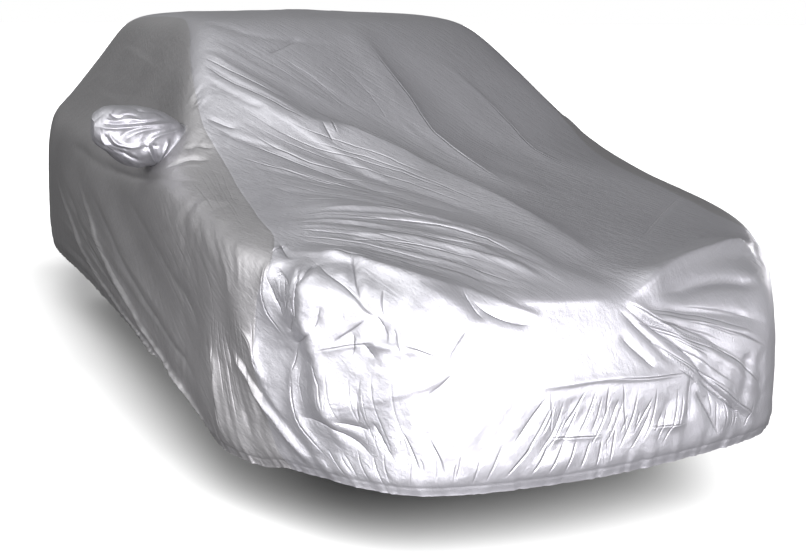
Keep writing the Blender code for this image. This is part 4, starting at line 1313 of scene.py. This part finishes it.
def side_panel_sheet(side, wall_rows, thin):
    """Rows from the hem to the top edge, columns from the front end to the rear end."""
    names = [station.name for station in STATIONS]
    front_end, rear_end = (names.index(name) for name in SIDE_CORNERS)
    fine_wall = station_places(0, front_end)
    front_places = np.interp(np.linspace(0, 1, wall_rows + 1), np.linspace(0, 1, len(fine_wall)), fine_wall)
    fine_back = station_places(rear_end, len(STATIONS) - 1)
    rear_places = np.interp(np.linspace(1, 0, wall_rows + 1), np.linspace(0, 1, len(fine_back)), fine_back)
    front, rear = seam_guesses(side, front_places), seam_guesses(side, rear_places)
    top = seam_guesses(side, station_places(front_end, rear_end, thin))
    bottom = side_hem_guesses(side, top)
    bottom[0], bottom[-1] = front[0], rear[0]
    along, up = run_along(top) / run_along(top)[-1], run_along(front) / run_along(front)[-1]
    u, v = along[None, :, None], up[:, None, None]
    across_rows = bottom[None] * (1 - v) + top[None] * v
    across_columns = front[:, None] * (1 - u) + rear[:, None] * u
    corners = (bottom[0] * (1 - u) + bottom[-1] * u) * (1 - v) + (top[0] * (1 - u) + top[-1] * u) * v
    return Sheet(across_rows + across_columns - corners)


def dress_edges(sheet, cloth, hems, seams, seed):
    """Hems and seams of a panel. It returns how far the nearest stitched line is and the run along it."""
    from_seam, run = np.full(len(sheet.points), FAR_AWAY), np.zeros(len(sheet.points))
    for edge in seams:
        line, distance = sheet.from_edge(edge)
        run = np.where(distance < from_seam, line, run)
        from_seam = np.minimum(from_seam, distance)
    sheet.raise_by(seam_height(sheet.points, from_seam, cloth.seam_depth))
    away = from_seam
    for index, edge in enumerate(hems):
        line, distance = sheet.from_edge(edge)
        sheet.raise_by(hem_height(distance, cloth.hem_width, cloth.hem_pull))
        gathers = gather_height(line, distance, cloth.gather_depth, seed + 5 * index)
        sheet.raise_by(gathers * soft_step(from_seam / 0.030))
        from_stitch = np.abs(distance - cloth.hem_width) + STITCH_INSET
        run = np.where(from_stitch < away, line, run)
        away = np.minimum(away, from_stitch)
    return away, run


def finish_piece(made, node, material):
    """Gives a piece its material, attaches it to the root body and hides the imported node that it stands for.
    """
    made.data.materials.append(material)
    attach(made, "root")
    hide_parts(node)


def dress(sheet, cloth, creases, layers, hems, seams, seed):
    """Gives a panel its creases, seams and hems. It returns what its finish reads at each point."""
    lines = lay_detail(sheet, creases, layers, cloth.crease_depth)
    away, run = dress_edges(sheet, cloth, hems, seams, seed)
    return {"laid_u": sheet.u, "laid_v": sheet.v, "sewn_away": away, "sewn_run": run, **lines}


class COVER_OT_long_panel(bpy.types.Operator):
    """Make the long panel, from the front hem over the top to the rear hem"""

    bl_idname = "cover.long_panel"
    bl_label = "Long Panel"

    def execute(self, context):
        cloth = context.scene.cover_cloth
        sheet = long_panel_sheet()
        facts = dress(sheet, cloth, all_creases(), line_layers(), hems=("first_row", "last_row"),
                      seams=("first_column", "last_column"), seed=60)
        faces = grid_faces(*sheet.shape, False).tolist()
        made = make_mesh("cover_top_panel", sheet.placed(), faces, facts)
        lay_out(made.data, sheet.u, sheet.v)
        finish_piece(made, "top_panel", cloth_finish("silver_top", tuple(cloth.top_colour), cloth))
        return {"FINISHED"}


class COVER_OT_side_panels(bpy.types.Operator):
    """Make the two side panels, with the opening of each mirror pocket"""

    bl_idname = "cover.side_panels"
    bl_label = "Side Panels"

    def execute(self, context):
        cloth = context.scene.cover_cloth
        creases, layers = all_creases(), line_layers()
        # The side panels' colour is the long panel's cloth made darker, as painted shade.
        material = cloth_finish("silver_side", tuple(cloth.shaded_side_colour), cloth)
        for side, name, rows, thin in ((-1, "left", 170, 0.85), (1, "right", 120, 1.3)):
            sheet = side_panel_sheet(side, rows, thin)
            facts = dress(sheet, cloth, creases, layers, hems=("first_row",),
                          seams=("first_column", "last_column", "last_row"), seed=80 + side)
            base = (LEFT_POCKET if side < 0 else RIGHT_POCKET)[0]
            points, faces = cut_for_pocket(sheet.placed(), grid_faces(*sheet.shape, side < 0), base)
            made = make_mesh(f"cover_{name}_side_panel", points, faces.tolist(), facts)
            lay_out(made.data, sheet.u, sheet.v)
            finish_piece(made, f"{name}_side_panel", material)
        return {"FINISHED"}


def ring(section, sides):
    """The y and z of a pocket's section, as an ellipse with its corners filled out."""
    turn = np.arange(sides) * 2 * math.pi / sides
    along = np.sign(np.cos(turn)) * np.abs(np.cos(turn)) ** POCKET_FULLNESS * section.half_length
    height = np.sign(np.sin(turn)) * np.abs(np.sin(turn)) ** POCKET_FULLNESS * section.half_height
    return POCKET_MIDDLE_Y + section.shift + along, POCKET_MIDDLE_Z + section.rise + height


def cut_for_pocket(points, faces, base):
    """Cuts the side panel inside the wall of its pocket. Level is 1 on the pocket's outline and less inside
    it; the points close to the outline move onto it."""
    least_out, gap, power = 0.45, 0.0015, 2 / POCKET_FULLNESS
    close_inside, close_outside = 0.955, 1.045
    y, z = points[:, 1] - POCKET_MIDDLE_Y, points[:, 2] - POCKET_MIDDLE_Z
    level = np.abs(y / (base.half_length + gap)) ** power + np.abs(z / (base.half_height + gap)) ** power
    level = np.where(np.abs(points[:, 0]) > least_out, level ** (1 / power), FAR_AWAY)
    close = (level > close_inside) & (level < close_outside)
    points = points.copy()
    points[close, 1] = POCKET_MIDDLE_Y + y[close] / level[close]
    points[close, 2] = POCKET_MIDDLE_Z + z[close] / level[close]
    cut = (level < close_outside)[faces].all(axis=1) & (level < close_inside)[faces].any(axis=1)
    return points, faces[~cut]


def folded_side_x(side, y, z):
    """The x of one side of the folded form, at each place along it and height."""
    nearest, farthest, halvings = 0.40, 1.10, 30
    out = last_within(lambda tried: beyond_form(np.stack([side * tried, y, z], axis=-1)) < 0,
                      np.full(len(y), nearest), np.full(len(y), farthest), halvings)
    points = np.stack([side * out, y, z], axis=-1)
    return (points + outward(points) * fold_height(points)[:, None])[:, 0]


# Creases of the left pocket, in pixels of the photograph's frame.
POCKET_CREASES = [
    Crease("ridge", 0.0090, 0.006, 0.009, [(92, 126), (112, 128), (135, 127), (160, 125), (188, 124)]),
    Crease("ridge_dark", -0.0060, 0.006, 0.006, [(98, 123), (118, 124), (140, 123), (170, 120)]),
    Crease("drape_upper", 0.0060, 0.005, 0.006,
           [(122, 144), (129, 136), (141, 131), (156, 129), (174, 128)]),
    Crease("drape_upper_dark", -0.0060, 0.005, 0.006, [(118, 142), (126, 133), (140, 128), (158, 127)]),
    Crease("drape_lower", 0.0070, 0.005, 0.006,
           [(108, 130), (112, 138), (119, 144), (134, 147), (150, 141)]),
    Crease("drape_lower_dark", -0.0060, 0.005, 0.006, [(104, 132), (109, 142), (118, 148), (132, 150)]),
    Crease("drape_outer", 0.0060, 0.005, 0.006, [(100, 131), (104, 141), (112, 150), (124, 157)]),
    Crease("drape_right", 0.0060, 0.006, 0.007, [(146, 144), (158, 136), (172, 132), (184, 128)]),
    Crease("tip_first", 0.0080, 0.005, 0.005, [(161, 171), (154, 160), (149, 150), (147, 140)]),
    Crease("tip_second", -0.0080, 0.004, 0.005, [(161, 171), (157, 158), (154, 148), (153, 142)]),
    Crease("tip_third", 0.0070, 0.004, 0.005, [(162, 171), (162, 158), (166, 147), (170, 138)]),
    Crease("tip_fourth", -0.0070, 0.004, 0.005, [(163, 170), (168, 158), (174, 147), (179, 137)]),
    Crease("tip_fifth", 0.0060, 0.004, 0.005, [(163, 170), (172, 158), (178, 147), (183, 136)]),
    Crease("star_flat", -0.0060, 0.004, 0.004, [(142, 148), (151, 147), (160, 146)]),
    Crease("under", -0.0080, 0.008, 0.006, [(96, 140), (110, 149), (127, 157), (146, 163)]),
    Crease("top_first", -0.0050, 0.004, 0.005, [(106, 112), (118, 117), (128, 114), (140, 118)]),
    Crease("top_second", 0.0050, 0.004, 0.005,
           [(102, 118), (114, 121), (128, 119), (146, 121), (160, 117)]),
    Crease("top_third", -0.0050, 0.004, 0.005, [(132, 106), (142, 112), (156, 114), (166, 120)]),
]


class COVER_OT_mirror_pockets(bpy.types.Operator):
    """Make the pocket for each mirror, sewn into its side panel"""

    bl_idname = "cover.mirror_pockets"
    bl_label = "Mirror Pockets"

    def execute(self, context):
        cloth = context.scene.cover_cloth
        # The pockets' colour is the long panel's cloth made a little darker, as painted shade.
        material = cloth_finish("silver_pocket", tuple(cloth.shaded_pocket_colour), cloth)
        for side, name, sections in ((-1, "left", LEFT_POCKET), (1, "right", RIGHT_POCKET)):
            made = make_pocket(f"cover_{name}_mirror_pocket", side, sections)
            finish_piece(made, f"{name}_mirror_pocket", material)
        return {"FINISHED"}


def in_frame(points):
    """Where the camera sees points, in pixels of the photograph's frame, and how far away they are."""
    right, up, ahead = (np.array(axis) for axis in camera_axes())
    focal = CAMERA_LENS / SENSOR * PHOTO_WIDTH
    offset = points - np.array(CAMERA_PLACE)
    depth = offset @ ahead
    pixels = np.stack([PHOTO_WIDTH / 2 + focal * (offset @ right) / depth,
                       PHOTO_HEIGHT / 2 - focal * (offset @ up) / depth], axis=-1)
    return pixels, depth


def pocket_creases(points, normals):
    """How far the creases of the left pocket lift or lower its cloth."""
    pixels, depth = in_frame(points)
    scale = depth.mean() / (CAMERA_LENS / SENSOR * PHOTO_WIDTH)
    flat = np.column_stack([pixels[:, 0] * scale, -pixels[:, 1] * scale, np.zeros(len(points))])
    placed = []
    for crease in POCKET_CREASES:
        placed.append((crease, finer([(x * scale, -y * scale, 0.0) for x, y in crease.route])))
    upright = np.zeros(points.shape)
    upright[:, 2] = 1.0
    height = crease_height(flat, upright, placed)
    towards = np.array(CAMERA_PLACE) - points
    towards /= np.linalg.norm(towards, axis=1, keepdims=True)
    facing = np.einsum("ij,ij->i", normals, towards)
    return height * soft_step((facing + 0.1) / 0.3)


def pocket_rings(side, sections, sides):
    """The guide rings of a pocket, from its turned-in edge over its sections to its closed outer end."""
    base_y, base_z = ring(sections[0], sides)
    base_x = folded_side_x(side, base_y, base_z)
    mean_x = base_x.mean()
    rows = []
    for away in (-POCKET_TURN_IN, 0.0, sections[0].out):
        rows.append(np.stack([base_x + side * away, base_y, base_z], axis=-1))
    for section in sections[1:]:
        y, z = ring(section, sides)
        slant = (base_x - mean_x) * section.half_height / sections[0].half_height
        rows.append(np.stack([mean_x + section.lean * slant + side * section.out, y, z], axis=-1))
    last = rows[-1]
    tip = last.mean(axis=0)
    bulge = 0.004 if side < 0 else 0.0
    for shrink, share in ((0.72, 0.5), (0.36, 0.85), (0.0, 1.0)):
        rows.append(tip + (last - tip) * shrink + np.array([side * bulge * share, 0.0, 0.0]))
    return np.array(rows)


def tube_normals(tube):
    """The outward normals of a tube, whose rows are its rings."""
    across = np.roll(tube, -1, axis=1) - np.roll(tube, 1, axis=1)
    normals = np.cross(across, np.gradient(tube, axis=0))
    normals /= np.maximum(np.linalg.norm(normals, axis=2, keepdims=True), 1e-9)
    tested = len(tube) // 3
    outwards = (normals[tested] * (tube[tested] - tube[tested].mean(axis=0))).sum() > 0
    return normals if outwards else -normals


def tube_faces(rings, sides, turned):
    """The squares of a tube of rings and the triangles to its tip, the point after its last ring."""
    index = np.arange(rings * sides).reshape(rings, sides)
    following = np.roll(index, -1, axis=1)
    corners = [index[:-1], following[:-1], following[1:], index[1:]]
    faces = np.stack([corner.ravel() for corner in corners], axis=-1).tolist()
    faces += [[a, b, rings * sides] for a, b in zip(index[-1].tolist(), following[-1].tolist())]
    return [face[::-1] for face in faces] if turned else faces


def make_pocket(name, side, sections):
    """A pouch of rings from its turned-in edge to its closed outer end. The left one is full and creased,
    and the right one lies slack."""
    left = side < 0
    sides, rings, fullness = (220, 150, 1.0) if left else (160, 60, 0.35)
    base_ease, tip_ease = 0.030, 0.040
    guides = pocket_rings(side, sections, sides)
    places = np.linspace(0, len(guides) - 1, rings + 1)
    tube = through(guides.reshape(len(guides), -1), places).reshape(rings + 1, sides, 3)[:-1]
    normals = tube_normals(tube)
    steps = np.linalg.norm(np.diff(tube, axis=0), axis=2)
    v = np.cumsum(np.vstack([np.zeros((1, sides)), steps]), axis=0)
    u = POCKET_GIRTH * (np.linspace(0, 1, sides, endpoint=False)[None, :] + np.zeros((rings, 1)))
    ease = soft_step((v - POCKET_TURN_IN) / base_ease) * soft_step((v.max() - v) / tip_ease)

    points = tube.reshape(-1, 3)
    crumple = facets(points / 0.070, 91).reshape(rings, sides)
    slow = lattice_noise(points / 0.090, 95).reshape(rings, sides)
    lift = fullness * ease * (0.0085 * crumple + 0.004 * slow)
    if left:
        lift += ease * pocket_creases(points, normals.reshape(-1, 3)).reshape(rings, sides)
    placed = tube + normals * lift[..., None]
    placed = np.vstack([placed.reshape(-1, 3), placed[-1].mean(axis=0, keepdims=True)])
    facts = {
        "laid_u": np.append(u, 0.0),
        "laid_v": np.append(v, v.max()),
        "sewn_away": np.append(np.abs(v - POCKET_TURN_IN), FAR_AWAY),
        "sewn_run": np.append(u, 0.0),
    }
    for layer in range(LINE_LAYERS):
        facts[f"line_away_{layer}"] = np.ones(len(placed))
        facts[f"line_depth_{layer}"] = np.zeros(len(placed))
    return make_mesh(name, placed, tube_faces(rings, sides, left), facts)


# ---------------------------------------------------------------------------------------------------------
# Stage
FLOOR_HEIGHT = -1.371
FLOOR_REACH = 60.0
FLOOR_LIGHT_TOWARDS = (0.05, 0.84, -0.53)
FLOOR_LIGHT_ANGLE = 34.0
LAMP_COLOUR = (0.985, 0.965, 1.0)
# Soft boxes around the cover: where each stands, what it faces, its width and height and its power.
Lamp = namedtuple("Lamp", "name place towards width height power")
LAMPS = [
    Lamp("front_low", (-0.6, -5.8, -0.8), (0.0, -2.2, -0.8), 2.0, 1.2, 140.0),
    Lamp("front_middle", (-0.6, -5.8, 0.3), (0.0, -2.2, -0.8), 2.0, 1.2, 110.0),
    Lamp("front_high", (-0.6, -5.8, 1.8), (0.0, -2.2, -0.8), 1.8, 1.2, 85.0),
    Lamp("front_left", (-2.3, -5.4, -1.05), (-0.5, -2.4, -0.8), 2.0, 0.6, 110.0),
    Lamp("front_right", (2.2, -5.8, -0.8), (0.0, -2.2, -0.8), 1.4, 1.2, 56.0),
    Lamp("left_low", (-3.6, -3.9, -1.10), (-0.6, -2.3, -0.9), 1.5, 0.5, 62.0),
    Lamp("left_front", (-3.4, -4.6, -0.6), (-0.7, -2.1, -0.8), 1.2, 1.0, 14.0),
    Lamp("left_high", (-3.2, -2.8, 1.2), (-0.85, -0.85, -0.35), 0.8, 0.8, 50.0),
    Lamp("right_front", (3.6, -4.2, -0.2), (0.4, -2.2, -0.8), 1.0, 1.0, 10.0),
    Lamp("right_side", (5.0, 0.8, -0.3), (0.85, -0.1, -0.7), 2.4, 1.2, 60.0),
    Lamp("back", (1.0, 5.6, -0.7), (0.0, 1.5, -0.7), 2.6, 1.2, 80.0),
]
# Soft windows in the sky: the direction of each, how wide it opens, as the cosine at its edge, and how
# bright it is.
Window = namedtuple("Window", "name towards edge strength")
WINDOWS = [
    Window("left_high", (-1.0, 0.0, 1.0), 0.75, 3.70),
    Window("top", (-0.3, 0.3, 0.9), 0.92, 1.35),
    Window("back_high", (0.0, 1.0, 1.0), 0.75, 0.60),
    Window("right_high", (1.0, 0.0, 1.0), 0.75, 0.38),
    Window("left", (-1.0, 0.0, 0.15), 0.60, 0.60),
    Window("right", (1.0, 0.0, 0.15), 0.60, 0.34),
]


def add_lamp(lamp, share):
    """A soft box that lights the scene and that the camera doesn't see."""
    light = bpy.data.lights.new(lamp.name, "AREA")
    light.shape = "RECTANGLE"
    light.size, light.size_y = lamp.width, lamp.height
    light.energy = lamp.power * share
    light.color = LAMP_COLOUR
    made = bpy.data.objects.new(lamp.name, light)
    made.location = lamp.place
    made.rotation_euler = (Vector(lamp.towards) - Vector(lamp.place)).to_track_quat("-Z", "Y").to_euler()
    made.visible_camera = False
    bpy.context.scene.collection.objects.link(made)
    return made


def add_floor_light(strength):
    """A broad sun that draws the cover's shadow on the floor."""
    light = bpy.data.lights.new("floor_light", "SUN")
    light.energy = strength
    light.angle = math.radians(FLOOR_LIGHT_ANGLE)
    made = bpy.data.objects.new("floor_light", light)
    made.rotation_euler = Vector(FLOOR_LIGHT_TOWARDS).to_track_quat("-Z", "Y").to_euler()
    bpy.context.scene.collection.objects.link(made)
    return made


def only_light(light, name, receivers):
    """Lets a light reach only the receivers; everything still casts shadows from it."""
    group = bpy.data.collections.new(name)
    for receiver in receivers:
        group.objects.link(receiver)
    light.light_linking.receiver_collection = group


class COVER_OT_stage(bpy.types.Operator):
    """Make the floor, the lights and the camera"""

    bl_idname = "cover.stage"
    bl_label = "Stage"

    def execute(self, context):
        stage = context.scene.cover_stage
        pieces = [made for made in bpy.data.objects if made.name.startswith("cover_")]
        floor = add_floor(tuple(stage.floor_colour))
        for lamp in LAMPS:
            only_light(add_lamp(lamp, stage.light_share), lamp.name + "_reach", pieces)
        only_light(add_floor_light(stage.floor_light), "floor_light_reach", [floor])
        add_sky(stage.sky_share)
        add_camera(context, stage.focal_length)
        context.scene.view_settings.view_transform = "Standard"
        return {"FINISHED"}


def add_floor(colour):
    """A floor that takes the cover's shadow. The cloth neither mirrors it nor takes light from it."""
    data = bpy.data.meshes.new("floor")
    turns = ((-1, -1), (1, -1), (1, 1), (-1, 1))
    corners = [(x * FLOOR_REACH, y * FLOOR_REACH, FLOOR_HEIGHT) for x, y in turns]
    data.from_pydata(corners, [], [(0, 1, 2, 3)])
    floor = bpy.data.objects.new("floor", data)
    bpy.context.scene.collection.objects.link(floor)
    finish = Finish("pale_floor")
    finish.set(Base_Color=(*colour, 1.0), Roughness=0.9, Specular_IOR_Level=0.1)
    data.materials.append(finish.material)
    floor.visible_diffuse = False
    floor.visible_glossy = False
    return floor


def add_sky(share):
    """White where the camera looks; for the cloth, dark with a few soft windows."""
    world = bpy.data.worlds.new("studio")
    bpy.context.scene.world = world
    world.use_nodes = True
    world.node_tree.nodes.clear()
    sky = NodeTree(world.node_tree)
    direction = sky.node("ShaderNodeTexCoord", output="Generated")
    light = 0.0
    for window in WINDOWS:
        towards = tuple(Vector(window.towards).normalized())
        facing = sky.node("ShaderNodeVectorMath", {"operation": "DOT_PRODUCT"},
                          {0: direction, 1: towards}, output="Value")
        opened = sky.node("ShaderNodeMapRange", {"interpolation_type": "SMOOTHSTEP"},
                          {"Value": facing, "From Min": window.edge, "From Max": 1.0})
        light = opened * (window.strength * share) + light
    dim = sky.node("ShaderNodeBackground", None, {"Strength": light})
    white = sky.node("ShaderNodeBackground", None, {"Color": (1.0, 1.0, 1.0, 1.0)})
    seen = sky.node("ShaderNodeLightPath", output="Is Camera Ray")
    both = sky.node("ShaderNodeMixShader", None, {0: seen, 1: dim, 2: white})
    sky.node("ShaderNodeOutputWorld", None, {"Surface": both})


def add_camera(context, focal_length):
    """A camera where the photograph's camera stood."""
    right, up, ahead = camera_axes()
    data = bpy.data.cameras.new("camera")
    data.lens = focal_length
    data.sensor_width = SENSOR
    data.sensor_fit = "HORIZONTAL"
    camera = bpy.data.objects.new("camera", data)
    turn = Matrix((right, up, -ahead)).transposed()
    camera.matrix_world = Matrix.Translation(CAMERA_PLACE) @ turn.to_4x4()
    context.scene.collection.objects.link(camera)
    context.scene.camera = camera


class COVER_PT_panel(bpy.types.Panel):
    """Lists the pieces and their settings"""

    bl_idname = "COVER_PT_panel"
    bl_label = "Silver Cover"
    bl_space_type = "VIEW_3D"
    bl_region_type = "UI"
    bl_category = "Silver Cover"

    def draw(self, context):
        layout = self.layout
        for operator in OPERATORS:
            layout.operator(operator.bl_idname)
        for group in (context.scene.cover_cloth, context.scene.cover_stage):
            column = layout.column()
            for name in group.bl_rna.properties.keys():
                if name not in ("rna_type", "name"):
                    column.prop(group, name)


OPERATORS = (COVER_OT_long_panel, COVER_OT_side_panels, COVER_OT_mirror_pockets, COVER_OT_stage)
CLASSES = (ClothSettings, StageSettings, *OPERATORS, COVER_PT_panel)


def register():
    """Adds the settings, the operators and the panel."""
    for made in CLASSES:
        bpy.utils.register_class(made)
    bpy.types.Scene.cover_cloth = bpy.props.PointerProperty(type=ClothSettings)
    bpy.types.Scene.cover_stage = bpy.props.PointerProperty(type=StageSettings)


def unregister():
    """Takes out what register adds."""
    del bpy.types.Scene.cover_stage
    del bpy.types.Scene.cover_cloth
    for made in reversed(CLASSES):
        bpy.utils.unregister_class(made)


def main():
    """Makes every piece and the stage."""
    register()
    bpy.ops.cover.long_panel()
    bpy.ops.cover.side_panels()
    bpy.ops.cover.mirror_pockets()
    bpy.ops.cover.stage()
    bpy.context.view_layer.update()


if __name__ == "__main__":
    main()
